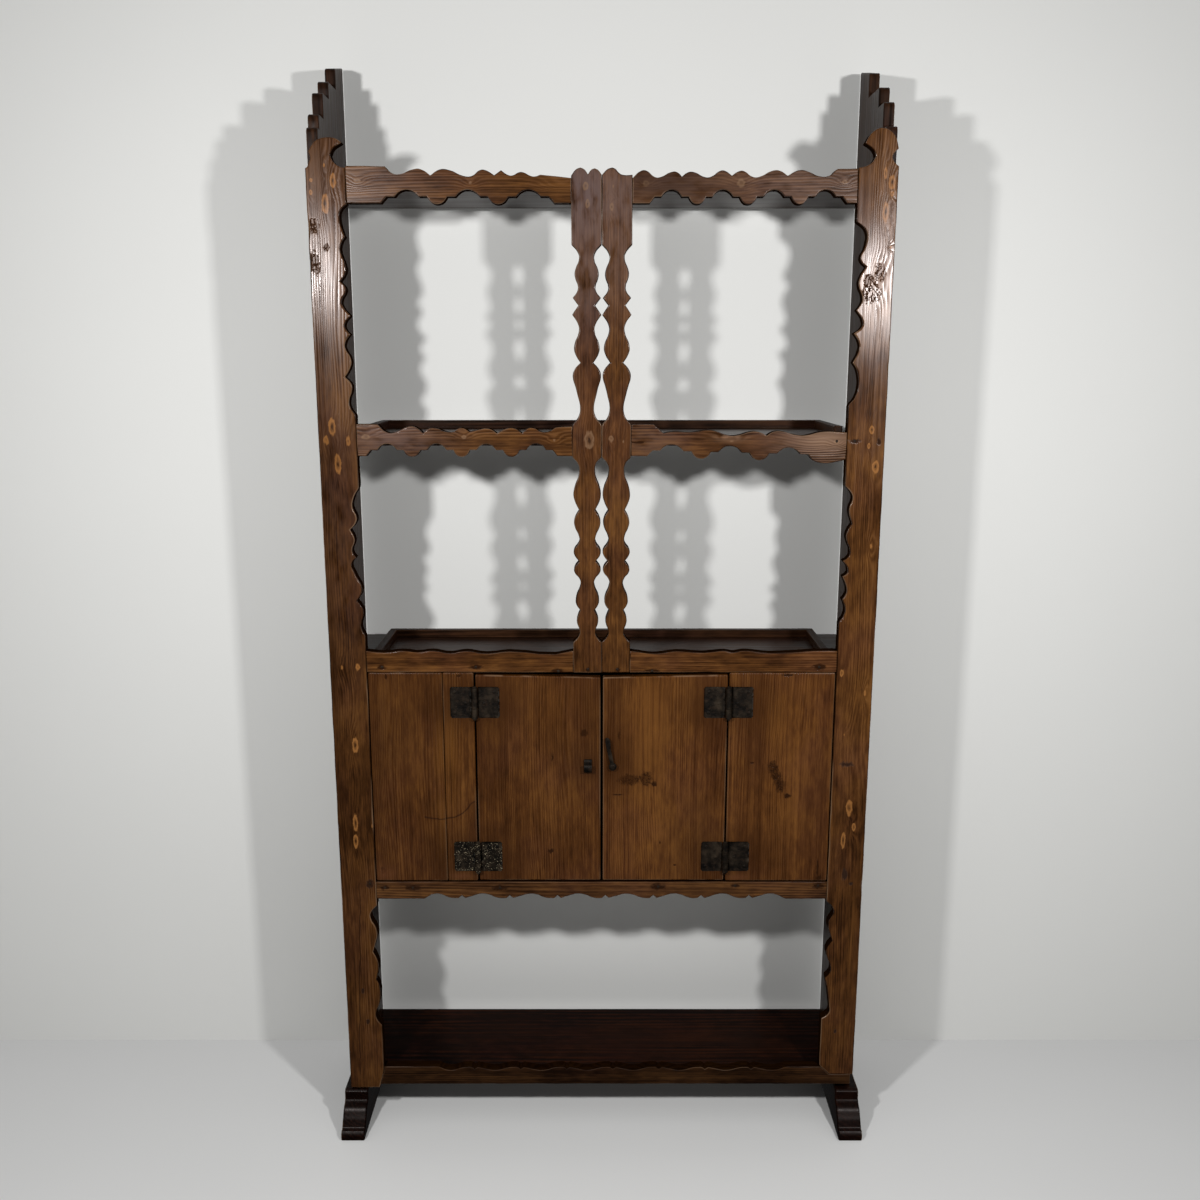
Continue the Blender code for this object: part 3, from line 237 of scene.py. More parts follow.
class Graph:
    """Adds shader nodes to a new material and joins them."""

    def __init__(self, name):
        self.material = bpy.data.materials.new(name)
        self.material.use_nodes = True
        self.tree = self.material.node_tree
        self.shader = self.tree.nodes["Principled BSDF"]

    def put(self, socket, value):
        """Joins an output to a socket, or sets the socket to a plain value."""
        if isinstance(value, bpy.types.NodeSocket):
            self.tree.links.new(value, socket)
        else:
            socket.default_value = value

    def add(self, kind, **settings):
        node = self.tree.nodes.new(f"ShaderNode{kind}")
        for key, value in settings.items():
            setattr(node, key, value)
        return node

    def math(self, operation, *values, clamp=False):
        node = self.add("Math", operation=operation, use_clamp=clamp)
        for socket, value in zip(node.inputs, values):
            self.put(socket, value)
        return node.outputs[0]

    def vector(self, operation, *values):
        node = self.add("VectorMath", operation=operation)
        for socket, value in zip(node.inputs, values):
            self.put(socket, value)
        return node.outputs["Value" if operation == "LENGTH" else "Vector"]

    def noise(self, place, scale, detail=2.0):
        """Noise from 0 to 1, with its own scale in each direction."""
        node = self.add("TexNoise")
        node.inputs["Scale"].default_value = 1.0
        node.inputs["Detail"].default_value = detail
        self.put(node.inputs["Vector"], self.vector("MULTIPLY", place, scale))
        return node.outputs["Fac"]

    def spread(self, value, start, end):
        """0 at start and before it, 1 at end and after it, smooth between."""
        node = self.add("MapRange", interpolation_type="SMOOTHSTEP")
        for socket, number in zip(node.inputs, (value, start, end, 0.0, 1.0)):
            self.put(socket, number)
        return node.outputs["Result"]

    def ramp(self, factor, stops):
        node = self.add("ValToRGB")
        while len(node.color_ramp.elements) < len(stops):
            node.color_ramp.elements.new(0.5)
        for element, (position, colour) in zip(node.color_ramp.elements, stops):
            element.position = position
            element.color = (*colour, 1.0)
        self.put(node.inputs["Fac"], factor)
        return node.outputs["Color"]

    def mix(self, factor, first, second, blend="MIX"):
        node = self.add("Mix", data_type="RGBA", blend_type=blend)
        colours = [(*c, 1.0) if isinstance(c, tuple) else c for c in (first, second)]
        for socket, value in zip((node.inputs[0], node.inputs[6], node.inputs[7]), (factor, *colours)):
            self.put(socket, value)
        return node.outputs[2]

    def attribute(self, name):
        return self.add("Attribute", attribute_name=name).outputs["Fac"]

    def weighted(self, *terms):
        """Sum of (value, weight) terms, each counted from its middle of one half."""
        total = 0.5
        for value, weight in terms:
            total = self.math("MULTIPLY_ADD", self.math("SUBTRACT", value, 0.5), weight, total)
        return total

    def bump(self, height, distance):
        node = self.add("Bump")
        node.inputs["Strength"].default_value = 1.0
        node.inputs["Distance"].default_value = distance
        self.put(node.inputs["Height"], height)
        self.put(self.shader.inputs["Normal"], node.outputs["Normal"])


def nearest(graph, face, marks):
    """Smallest distance to a list of oval marks, in units of their own half size, or None."""
    least = None
    for across, along, width, length, faint in marks:
        scale = (2000 / width, 0.0, 2000 / length)
        shift = (-2 * across / width, 0.0, -2 * along / length)
        away = graph.vector("LENGTH", graph.vector("MULTIPLY_ADD", face, scale, shift))
        if faint:
            away = graph.math("ADD", away, faint)
        least = away if least is None else graph.math("MINIMUM", least, away)
    return least


def fall_off(graph, distance):
    """1 on a mark, fading softly with distance."""
    return graph.math("POWER", 0.5, graph.math("MULTIPLY", distance, distance))


def crack_mask(graph, face, wander, cracks):
    """1 inside thin wandering cracks."""
    mask = None
    for a0, l0, a1, l1, width in cracks:
        run = Vector(((a1 - a0) / 1000, (l1 - l0) / 1000))
        length = run.length
        run.normalize()
        first = graph.vector("ADD", face, (-a0 / 1000, 0.0, -l0 / 1000))
        split = graph.add("SeparateXYZ")
        graph.put(split.inputs[0], first)
        along = graph.math("MULTIPLY_ADD", split.outputs["Z"], run.y,
                           graph.math("MULTIPLY", split.outputs["X"], run.x))
        aside = graph.math("MULTIPLY_ADD", split.outputs["Z"], -run.x,
                           graph.math("MULTIPLY", split.outputs["X"], run.y))
        aside = graph.math("ABSOLUTE", graph.math("ADD", aside, wander))
        inside = graph.spread(aside, width / 1000, width / 4000)
        ends = graph.math("MULTIPLY", graph.spread(along, 0.0, 0.02 * length),
                          graph.spread(along, length, 0.9 * length))
        part = graph.math("MULTIPLY", inside, ends)
        mask = part if mask is None else graph.math("MAXIMUM", mask, part)
    return mask


def wood(piece, order, tones, rings=240.0, seed=0.0, gloss=0.40, relief=1.0, shade=1.0, shine=0.28,
         contrast=1.0, lines=0.30, wear=0.35, mottled=0.4, streaks=1.0):
    """Old waxed softwood. Order names the axes across, into and along the grain, such as xyz."""
    g = Graph(f"{piece}_wood")
    tones = [tuple(shade * c for c in tone) for tone in tones]
    parts = g.add("SeparateXYZ")
    g.put(parts.inputs[0], g.add("TexCoord").outputs["Object"])
    face = g.add("CombineXYZ")
    for socket, axis in zip(face.inputs, order.upper()):
        g.put(socket, parts.outputs[axis])
    face = face.outputs[0]
    place = g.vector("ADD", face, (0.37 * seed, 0.21 * seed, 1.13 * seed))

    slow = g.noise(place, (8.0, 8.0, 0.8))
    middling = g.noise(place, (34.0, 34.0, 1.6))
    quick = g.noise(place, (120.0, 120.0, 7.0), 1.0)
    streak = g.noise(place, (80.0, 80.0, 1.3), 4.0)
    fine = g.noise(place, (310.0, 310.0, 4.0), 2.0)
    blotch = g.noise(place, (9.0, 9.0, 5.0), 3.0)
    warmth = g.noise(place, (13.0, 13.0, 8.0), 3.0)
    mottle = g.noise(place, (75.0, 75.0, 28.0), 3.0)
    fibre = g.noise(place, (420.0, 420.0, 45.0), 2.0)
    swell = g.noise(place, (28.0, 28.0, 7.0), 1.0)

    split = g.add("SeparateXYZ")
    g.put(split.inputs[0], place)
    bend = g.math("MULTIPLY", g.math("SUBTRACT", slow, 0.5), 0.055)
    bend = g.math("MULTIPLY_ADD", g.math("SUBTRACT", middling, 0.5), 0.020, bend)
    bend = g.math("MULTIPLY_ADD", g.math("SUBTRACT", quick, 0.5), 0.0022, bend)
    across = g.math("MULTIPLY_ADD", split.outputs["Y"], 0.6, split.outputs["X"])
    phase = g.math("MULTIPLY", g.math("ADD", across, bend), rings * math.tau)
    ragged = g.math("MULTIPLY", g.math("SUBTRACT", g.noise(place, (240.0, 240.0, 140.0), 3.0), 0.5), 1.5)
    for mark_across, along, width, length, turns in SWIRLS.get(piece, ()):
        swirl = fall_off(g, nearest(g, face, [(mark_across, along, width, length, 0)]))
        phase = g.math("MULTIPLY_ADD", swirl, turns * math.tau, phase)
    knots = nearest(g, face, KNOTS.get(piece, ()))
    if knots:
        knots = g.math("MULTIPLY_ADD", ragged, 0.5, knots)
        phase = g.math("MULTIPLY_ADD", fall_off(g, g.math("MULTIPLY", knots, 0.5)), 14.0, phase)
    fade = g.spread(g.noise(place, (22.0, 22.0, 2.2), 1.0), 0.34, 0.60)
    line = g.math("MULTIPLY_ADD", g.math("SINE", phase), g.math("MULTIPLY", fade, 0.5), 0.5)

    tone = g.weighted((line, lines * contrast), (streak, 0.38 * streaks * contrast), (fine, 0.42 * streaks * contrast),
                      (blotch, 0.60 * contrast), (mottle, mottled * contrast), (fibre, 0.50))
    colour = g.ramp(tone, list(zip((0.22, 0.50, 0.80), tones)))
    colour = g.mix(g.math("MULTIPLY", g.spread(warmth, 0.42, 0.68), 0.8), colour, COOLER, "MULTIPLY")
    height = g.weighted((line, 0.30 * relief), (fine, 0.24 * relief), (fibre, 0.10), (swell, 0.8))
    rough = g.weighted((streak, 0.12), (fine, 0.22), (line, 0.20 * relief), (blotch, 0.25))
    # Paler grain bands, and painted sheen: pale and grey-purple patches standing in for the lamps' reflection
    for table, target, texture in ((PALE_BANDS_AND_SHEENS, tones[2], fine), (PAINTED_DUSKY_SHEENS, DUSKY_SHEEN_TINT, mottle), (PAINTED_PALE_SHEENS, PALE_SHEEN_TINT, line)):
        for mark_across, along, width, length, strength in table.get(piece, ()):
            band_and_sheen = fall_off(g, nearest(g, face, [(mark_across, along, width, length, 0)]))
            band_and_sheen = g.math("MULTIPLY", band_and_sheen, g.spread(texture, 0.25, 0.60))
            colour = g.mix(g.math("MULTIPLY", band_and_sheen, strength), colour, target)
    if knots:
        bright = piece.startswith("stile")
        ring = g.math("MULTIPLY_ADD", g.spread(knots, 0.72, 0.45), -0.40 if bright else -0.25, 0.74 if bright else 0.48)
        colour = g.mix(g.math("MULTIPLY", g.spread(knots, 1.10, 0.82), ring), colour,
                       KNOT_RING if bright else DULL_KNOT)
        colour = g.mix(g.math("MULTIPLY", g.spread(knots, 0.42, 0.12), 0.8), colour, KNOT_HEART)
    spots = nearest(g, face, SPOTS.get(piece, ()))
    holes = []
    if spots:
        holes.append(g.math("MULTIPLY", g.spread(g.math("ADD", spots, ragged), 1.25, 0.60), 0.95))
    if piece in BURLS:
        level = g.math("ABSOLUTE", g.math("SUBTRACT", g.noise(place, (210.0, 210.0, 150.0), 1.0), 0.5))
        squiggle = g.spread(level, 0.075, 0.02)
    for mark_across, along, width, length, darkness in BURLS.get(piece, ()):
        burl = g.math("ADD", nearest(g, face, [(mark_across, along, width, length, 0)]), ragged)
        inside = g.spread(burl, 1.35, 0.75)
        holes.append(g.math("MULTIPLY", inside, g.math("MULTIPLY_ADD", squiggle, 0.95 - darkness, darkness)))
    for hole in holes:
        colour = g.mix(hole, colour, SPOT)
        rough = g.math("MULTIPLY_ADD", hole, 0.8 if piece.startswith("stile") else -0.12, rough)
        height = g.math("MULTIPLY_ADD", hole, -0.8, height)
    for mark_across, along, width, length, strength in STAINS.get(piece, ()):
        stain = fall_off(g, nearest(g, face, [(mark_across, along, width, length, 0)]))
        colour = g.mix(g.math("MULTIPLY", stain, strength), colour, tones[0])
    for mark_across, along, width, length, strength in RUSTS.get(piece, ()):
        patch = g.math("MULTIPLY", fall_off(g, nearest(g, face, [(mark_across, along, width, length, 0)])), fine)
        colour = g.mix(g.math("MULTIPLY", patch, 2.0 * strength, clamp=True), colour, RUST)
    if piece in CRACKS:
        wander = g.math("MULTIPLY", g.math("SUBTRACT", g.noise(place, (30.0, 30.0, 30.0)), 0.5), 0.008)
        crack = g.math("MULTIPLY", crack_mask(g, face, wander, CRACKS[piece]), 0.7)
        colour = g.mix(crack, colour, KNOT_HEART)
    # Rounded edges paler in patches: partly wear, partly painted highlight along the roundings
    worn = g.math("MULTIPLY", g.attribute("worn"), g.math("MULTIPLY", g.spread(swell, 0.45, 0.62), wear))
    # Sawn sides and rounded edges darkened: partly the sawn wood's own colour, partly painted shade along the edges
    sawn_and_shade = g.math("MULTIPLY", g.attribute("sawn_and_shade"), 0.75)
    colour = g.mix(sawn_and_shade, colour, tuple(0.45 * c for c in tones[0]))
    colour = g.mix(worn, colour, WORN_AND_GLINT)
    g.put(g.shader.inputs["Base Color"], colour)
    g.put(g.shader.inputs["Roughness"], g.math("ADD", rough, gloss - 0.5, clamp=True))
    g.shader.inputs["Specular IOR Level"].default_value = shine
    g.shader.inputs["Specular Tint"].default_value = (1.0, 0.91, 0.88, 1.0)
    g.bump(height, 0.0005)
    return g.material


def iron(name, seed=0.0, gold=0.0, rusty=0.02):
    """Old hammered iron: dark scale with pits, brown rust and, on one hinge, worn golden specks."""
    g = Graph(name)
    place = g.vector("ADD", g.add("TexCoord").outputs["Object"], (seed, 0.3 * seed, 0.7 * seed))
    pits = g.noise(place, (520.0, 520.0, 520.0), 3.0)
    rust = g.noise(place, (150.0, 150.0, 150.0), 3.0)
    scale = g.noise(place, (60.0, 60.0, 60.0), 2.0)
    colour = g.ramp(scale, [(0.34, (0.0030, 0.0020, 0.0013)), (0.52, (0.0095, 0.0064, 0.0038)),
                            (0.74, (0.030, 0.021, 0.013))])
    colour = g.mix(g.math("MULTIPLY", g.spread(rust, 0.52 - rusty, 0.70 - rusty), 0.5), colour, (0.024, 0.013, 0.007))
    if gold:
        specks = g.math("MULTIPLY", g.spread(pits, 0.60, 0.68), g.spread(rust, 0.40, 0.56))
        colour = g.mix(g.math("MULTIPLY", specks, gold), colour, (0.40, 0.34, 0.22))
    g.put(g.shader.inputs["Base Color"], colour)
    g.shader.inputs["Metallic"].default_value = 0.2
    g.shader.inputs["Specular IOR Level"].default_value = 0.14
    g.put(g.shader.inputs["Roughness"], g.math("ADD", g.weighted((pits, 0.4), (rust, 0.3)), 0.04))
    g.bump(g.weighted((pits, 0.8), (scale, 1.0)), 0.0008)
    return g.material


def add_mesh(name, verts, normals, faces, material, body, worn=None, sawn_and_shade=None, edge=None, edges=()):
    """A new piece with its own normals that rides on a body. Edge is the material of the faces in edges."""
    mesh = bpy.data.meshes.new(name)
    mesh.from_pydata(verts, [], faces)
    mesh.shade_smooth()
    mesh.normals_split_custom_set_from_vertices(normals)
    for key, values in (("worn", worn), ("sawn_and_shade", sawn_and_shade)):
        if values:
            mesh.attributes.new(key, "FLOAT", "POINT").data.foreach_set("value", values)
    mesh.materials.append(material)
    if edge:
        mesh.materials.append(edge)
        for number in edges:
            mesh.polygons[number].material_index = 1
    obj = bpy.data.objects.new(name, mesh)
    scene.collection.objects.link(obj)
    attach(obj, body)
    return obj


def cap_outline(node, facing):
    """Outer boundary of a node's flat face on one side, counter-clockwise seen from there, as flat points."""
    right = UP.cross(facing)
    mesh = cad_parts[node].data
    plane = max(v.co.dot(facing) for v in mesh.vertices)
    ways = {}
    for polygon in mesh.polygons:
        corners = [mesh.vertices[i].co for i in polygon.vertices]
        if min(c.dot(facing) for c in corners) < plane - 1e-5:
            continue
        keys = [(round(c.dot(right), 6), round(c.z, 6)) for c in corners]
        for start, end in zip(keys, keys[1:] + keys[:1]):
            if start in ways.get(end, ()):
                ways[end].remove(start)
            else:
                ways.setdefault(start, []).append(end)
    loops = []
    starts = [key for key in ways if ways[key]]
    for start in starts:
        loop = []
        spot = start
        while ways[spot]:
            loop.append(Vector(spot))
            spot = ways[spot].pop()
        if len(loop) > 2:
            loops.append(loop)
    return max(loops, key=lambda loop: max(p.x for p in loop) - min(p.x for p in loop)), plane


def turn_between(before, after):
    return math.atan2(before.x * after.y - before.y * after.x, before.dot(after))


def smoothed(points):
    """A finer outline: smooth curves between its corners. Returns points and corner flags."""
    count = len(points)
    steps = [points[(i + 1) % count] - points[i] for i in range(count)]
    corner = [abs(turn_between(steps[i - 1], steps[i])) > CORNER_TURN for i in range(count)]
    tangents = []
    for i in range(count):
        before, after = steps[i - 1], steps[i]
        mixed = before.normalized() * after.length + after.normalized() * before.length
        if max(before.length, after.length) > LONGEST_ON_CURVE:
            mixed = max(before, after, key=lambda step: step.length)
        tangents.append(mixed.normalized())
    finer, flags = [], []
    for i in range(count):
        j = (i + 1) % count
        length = steps[i].length
        straight = steps[i].normalized()
        long = length > LONGEST_ON_CURVE
        start = straight if corner[i] or long else tangents[i]
        end = straight if corner[j] or long else tangents[j]
        curved = min(start.dot(straight), end.dot(straight)) < 0.9999
        pieces = max(1, round(length / (CURVE_STEP if curved else STRAIGHT_STEP)))
        for k in range(pieces):
            t = k / pieces
            h1, h2 = 2 * t**3 - 3 * t**2 + 1, t**3 - 2 * t**2 + t
            h3, h4 = -2 * t**3 + 3 * t**2, t**3 - t**2
            spot = points[i] * h1 + start * (h2 * length) + points[j] * h3 + end * (h4 * length)
            finer.append(spot)
            flags.append(k == 0 and corner[i])
    return finer, flags


def inward(points):
    """Inward direction at each point of an outline, longer at corners."""
    directions = []
    for i, point in enumerate(points):
        before = (point - points[i - 1]).normalized()
        after = (points[(i + 1) % len(points)] - point).normalized()
        first, second = Vector((-before.y, before.x)), Vector((-after.y, after.x))
        middle = (first + second).normalized()
        directions.append((middle, 1 / max(0.6, middle.dot(first))))
    return directions


def hand_cut(points, seed, amount):
    """The small wander of a hand-sawn edge."""
    moved = []
    for point, (direction, _) in zip(points, inward(points)):
        slow = noise.noise(Vector((point.x * 24, point.y * 24, seed)))
        quick = noise.noise(Vector((point.x * 95, point.y * 95, seed + 9)))
        moved.append(point + direction * (slow + 0.6 * quick) * amount)
    return moved


def unfolded(points, directions, insets):
    """The same insets, made smaller where the inset outline would fold back on itself."""
    insets = list(insets)
    count = len(points)
    for _ in range(12):
        inner = [p + d * (reach * inset) for p, (d, reach), inset in zip(points, directions, insets)]
        folded = False
        for i in range(count):
            j = (i + 1) % count
            step = points[j] - points[i]
            if (inner[j] - inner[i]).dot(step) < 0.1 * step.length_squared:
                insets[i] *= 0.7
                insets[j] *= 0.7
                folded = True
        if not folded:
            break
    return insets


def carved(node, facing, material, body="cabinet", radius=0.0016, back_radius=0.0009,
           wander=0.00035, seed=0.0, edge=None, wider=0.0, painted_lit_tops=False):
    """A sawn board with its node's outline, worn round along its edges.

    Edge is the material of its sawn sides. They and its rounded edges are painted dark: partly the darker sawn wood,
    partly painted shade along the edges. Where asked, the rounded edges that face up are left light, as painted light
    on the upper edges.
    """
    right = UP.cross(facing)
    outline, plane = cap_outline(node, facing)
    low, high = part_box(node)
    thick = abs((high - low).dot(facing))
    points, _ = smoothed(outline)
    points = hand_cut(points, seed, wander)
    points = [point - direction * wider for point, (direction, _) in zip(points, inward(points))]
    directions = inward(points)
    front = []
    for point in points:
        wear = 0.75 + 0.5 * noise.noise(Vector((point.x * 30, point.y * 30, seed + 3)))
        chip = sum(
            depth / 1000 * math.exp(-((point - Vector((x, z)) / 1000).length_squared) / (size / 1000) ** 2)
            for x, z, size, depth in CHIPS.get(node, ())
        )
        front.append(radius * wear + chip)
    front = unfolded(points, directions, front)
    back = unfolded(points, directions, [back_radius] * len(points))
    rings = [(90, "back"), (0, "back"), (0, "front"), (32, "front"), (62, "front"), (90, "front")]
    verts, normals, worn, sawn_and_shade = [], [], [], []
    for angle, side in rings:
        bend = math.radians(angle)
        for point, (direction, reach), wide, narrow in zip(points, directions, front, back):
            round_by = wide if side == "front" else narrow
            flat = point + direction * (reach * round_by * (1 - math.cos(bend)))
            depth = round_by * (1 - math.sin(bend))
            if side == "back":
                depth = thick - depth
            verts.append(right * flat.x + UP * flat.y + facing * (plane - depth))
            outer = -(right * direction.x + UP * direction.y)
            towards = facing if side == "front" else -facing
            normals.append((outer * math.cos(bend) + towards * math.sin(bend)).normalized())
            # Front roundings take the pale rubbed colour: partly wear, partly painted highlight
            worn.append(1.0 if side == "front" and 0 < angle < 90 else 0.0)
            # Upward-facing rounded edges are left light where asked: painted light
            dark = edge and not (painted_lit_tops and angle and outer.z > PAINTED_LIGHT_RISE)
            sawn_and_shade.append(SAWN_AND_PAINTED_SHADE[angle] if dark else 0.0)
    count = len(points)
    last = len(rings) - 1
    faces = [list(range(count))[::-1], list(range(last * count, (last + 1) * count))]
    for ring in range(last):
        for i in range(count):
            j = (i + 1) % count
            a, b = ring * count + i, ring * count + j
            faces.append([a, b, b + count, a + count])
    sides = [0] + list(range(2, 2 + 2 * count))
    obj = add_mesh(f"{node}_board", verts, normals, faces, material, body, worn, sawn_and_shade, edge, sides)
    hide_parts(node)
    return obj


def plank(node, along, material, body="cabinet", radius=0.0014, wave=0.0003, seed=0.0,
          wider=0.0, droop=0.0):
    """A planed board in its node's box, with eased edges and a slight wave along its length.

    Droop lowers the upper end of a door, most at its free edge in the middle of the cabinet.
    """
    low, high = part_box(node)
    run = "xyz".index(along)
    first, second = [axis for axis in range(3) if axis != run]
    if run == 1:
        first, second = second, first
    middle = (low + high) / 2
    half = (high - low) / 2
    half[first] += wider
    stations = [(0.0, radius), (0.3 * radius, 0.3 * radius), (radius, 0.0)]
    length = 2 * half[run]
    pieces = max(4, round(length / 0.03))
    stations += [(radius + (length - 2 * radius) * i / pieces, 0.0) for i in range(1, pieces)]
    stations += [(length - radius, 0.0), (length - 0.3 * radius, 0.3 * radius), (length, radius)]
    verts, normals, worn, sawn_and_shade = [], [], [], []
    for number, (spot, inset) in enumerate(stations):
        sway = Vector((
            noise.noise(Vector((spot * 5, seed, 1.7))) - 0.5,
            noise.noise(Vector((spot * 5, seed, 7.9))) - 0.5,
        )) * wave
        lean = 0.0 if radius < spot < length - radius else (-1 if spot < length / 2 else 1)
        tilt = {0: 0.9, 1: 0.6}.get(min(number, len(stations) - 1 - number), 0.0) * lean
        for sx, sy, quarter in ((1, 1, 0), (-1, 1, 1), (-1, -1, 2), (1, -1, 3)):
            for step in range(3):
                angle = math.radians(90 * quarter + 45 * step)
                across = sx * (half[first] - radius) + (radius - inset) * math.cos(angle)
                up = sy * (half[second] - radius) + (radius - inset) * math.sin(angle)
                place = [0.0, 0.0, 0.0]
                place[run] = low[run] + spot
                place[first] = middle[first] + across + sway.x
                place[second] = middle[second] + up + sway.y
                if droop:
                    free = 1 - abs(place[0]) / max(abs(low.x), abs(high.x))
                    place[2] -= droop * free * max(0.0, 1 - (length - spot) / DROOP_DEPTH)
                verts.append(place)
                normal = Vector((0, 0, 0))
                normal[first], normal[second] = math.cos(angle), math.sin(angle)
                normal[run] = tilt * 1.6
                normals.append(normal.normalized())
                # Eased edges and rounded ends take the pale rubbed colour: partly wear, partly painted highlight
                worn.append(1.0 if step == 1 or tilt else 0.0)
                sawn_and_shade.append(0.0)
    ring = 12
    total = len(stations)
    faces = []
    for number in range(total - 1):
        for i in range(ring):
            j = (i + 1) % ring
            a, b = number * ring + i, number * ring + j
            faces.append([a, b, b + ring, a + ring])
    for start, sign in ((0, -1), ((total - 1) * ring, 1)):
        cap = len(verts)
        for i in range(ring):
            verts.append(verts[start + i])
            normal = [0.0, 0.0, 0.0]
            normal[run] = sign
            normals.append(Vector(normal))
            worn.append(0.0)
            sawn_and_shade.append(0.6)
        faces.append(list(range(cap, cap + ring))[::sign])
    obj = add_mesh(f"{node}_board", verts, normals, faces, material, body, worn, sawn_and_shade)
    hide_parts(node)
    return obj


def nail_heads(name, body, places, material):
    """Hammered nail heads: (x, y of the face, z, radius) for each."""
    verts, normals, faces = [], [], []
    sides = 9
    rings = [(1.0, 0.0, 0.15), (0.92, 0.22, 0.6), (0.55, 0.38, 0.93)]
    for x, y, z, radius in places:
        start = len(verts)
        for reach, rise, lift in rings:
            for i in range(sides):
                angle = math.tau * i / sides
                away = Vector((math.cos(angle), 0, math.sin(angle)))
                uneven = 1 + 0.14 * noise.noise(Vector((x * 90 + away.x, y * 90, z * 90 + away.z)))
                verts.append(Vector((x, y - rise * radius, z)) + away * radius * reach * uneven)
                normals.append((away * (1 - lift) + FACING_FRONT * lift).normalized())
        verts.append(Vector((x, y - 0.42 * radius, z)))
        normals.append(FACING_FRONT)
        for ring in range(len(rings) - 1):
            for i in range(sides):
                a, b = start + ring * sides + i, start + ring * sides + (i + 1) % sides
                faces.append([a, b, b + sides, a + sides])
        top = start + (len(rings) - 1) * sides
        faces += [[top + i, top + (i + 1) % sides, len(verts) - 1] for i in range(sides)]
        faces.append(list(range(start, start + sides))[::-1])
    return add_mesh(name, verts, normals, faces, material, body)


def hinge_leaf(node, pin, body, material, knuckles, seed):
    """A hammered hinge leaf: an uneven plate and the knuckles rolled round the pin."""
    low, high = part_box(node)
    pin_low, pin_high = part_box(pin)
    axis = (pin_low + pin_high) / 2
    sign = 1 if high.x - axis.x > axis.x - low.x else -1
    outer = high.x if sign > 0 else low.x
    barrel = axis.y - low.y
    back, front = high.y, high.y - 0.0022
    near = axis.x + sign * (barrel + 0.0008)
    verts, normals, faces = [], [], []

    columns, rows = 15, 20
    for layer in (0, 1):
        for i in range(columns + 1):
            for k in range(rows + 1):
                x = near + (outer - near) * i / columns
                z = low.z + (high.z - low.z) * k / rows
                rim = min(i + 3, columns - i, k, rows - k)
                ragged = 0.0007 * noise.noise(Vector((x * 160, z * 160, seed)))
                if i == columns:
                    x -= sign * abs(ragged) * 1.4
                if k in (0, rows):
                    z += (1 if k == 0 else -1) * abs(ragged) * 1.4
                if i == columns and k in (0, rows):
                    x -= sign * 0.0016
                    z += (1 if k == 0 else -1) * 0.0016
                dent = 0.00035 * (1 + noise.noise(Vector((x * 210, z * 210, seed + 4))))
                drop = 0.0009 if rim == 0 else 0.00025 if rim == 1 else 0.0
                y = back if layer else front + dent + drop
                verts.append(Vector((x, y, z)))
                normals.append(FACING_FRONT if not layer else -FACING_FRONT)
    grid = (columns + 1) * (rows + 1)

    def number(i, k, layer):
        return layer * grid + i * (rows + 1) + k

    for layer in (0, 1):
        flip = 1 if (layer == 0) == (sign > 0) else -1
        for i in range(columns):
            for k in range(rows):
                faces.append([number(i, k, layer), number(i + 1, k, layer), number(i + 1, k + 1, layer),
                              number(i, k + 1, layer)][::flip])
    border = [(i, 0) for i in range(columns)] + [(columns, k) for k in range(rows)]
    border += [(i, rows) for i in range(columns, 0, -1)] + [(0, k) for k in range(rows, 0, -1)]
    for (i, k), (m, n) in zip(border, border[1:] + border[:1]):
        faces.append([number(i, k, 0), number(i, k, 1), number(m, n, 1), number(m, n, 0)][::sign])

    bore, sides = 0.0027, 20
    for start, end in knuckles:
        first = len(verts)
        profile = [(bore, start), (barrel - 0.0006, start), (barrel, start + 0.0006), (barrel, end - 0.0006),
                   (barrel - 0.0006, end), (bore, end)]
        for radius, level in profile:
            for i in range(sides):
                angle = math.tau * i / sides
                away = Vector((math.cos(angle), math.sin(angle), 0))
                uneven = 0.00018 * noise.noise(Vector((away.x * 2, away.y * 2, level * 90 + seed)))
                reach = radius - (abs(uneven) if radius > bore else 0.0)
                verts.append(Vector((axis.x, axis.y, level)) + away * reach)
                normals.append(away if radius > bore else -away)
        for ring in range(len(profile)):
            following = (ring + 1) % len(profile)
            for i in range(sides):
                j = (i + 1) % sides
                faces.append([first + ring * sides + i, first + ring * sides + j,
                              first + following * sides + j, first + following * sides + i])
        strap = len(verts)
        for x in (axis.x + sign * 0.0032, near + sign * 0.0008):
            for y, normal in ((front + 0.0003, FACING_FRONT), (back, -FACING_FRONT)):
                for level in (start, end):
                    verts.append(Vector((x, y, level)))
                    normals.append(normal)
        for corners in ((0, 1, 5, 4), (2, 6, 7, 3), (0, 4, 6, 2), (1, 3, 7, 5), (0, 2, 3, 1), (4, 5, 7, 6)):
            faces.append([strap + c for c in corners])
    mesh_name = f"{node}_plate"
    obj = add_mesh(mesh_name, verts, normals, faces, material, body)
    obj.data.shade_flat()
    obj.data.normals_split_custom_set([(0, 0, 0)] * len(obj.data.loops))
    obj.data.shade_smooth()
    obj.data.set_sharp_from_angle(angle=math.radians(50))
    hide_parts(node)
    return obj


def make_camera():
    data = bpy.data.cameras.new("camera")
    data.sensor_width = 36.0
    data.lens = 34.22
    obj = bpy.data.objects.new("camera", data)
    obj.location = (-0.003, -2.0192, 1.43)
    obj.rotation_euler = (math.radians(90 - 11.906), 0, 0)
    scene.collection.objects.link(obj)
    scene.camera = obj


def make_lamp(name, place, target, size, watts):
    data = bpy.data.lights.new(name, "AREA")
    data.shape = "RECTANGLE"
    data.size, data.size_y = size
    data.energy = watts
    obj = bpy.data.objects.new(name, data)
    obj.location = place
    obj.rotation_euler = (Vector(target) - Vector(place)).to_track_quat("-Z", "Y").to_euler()
    scene.collection.objects.link(obj)


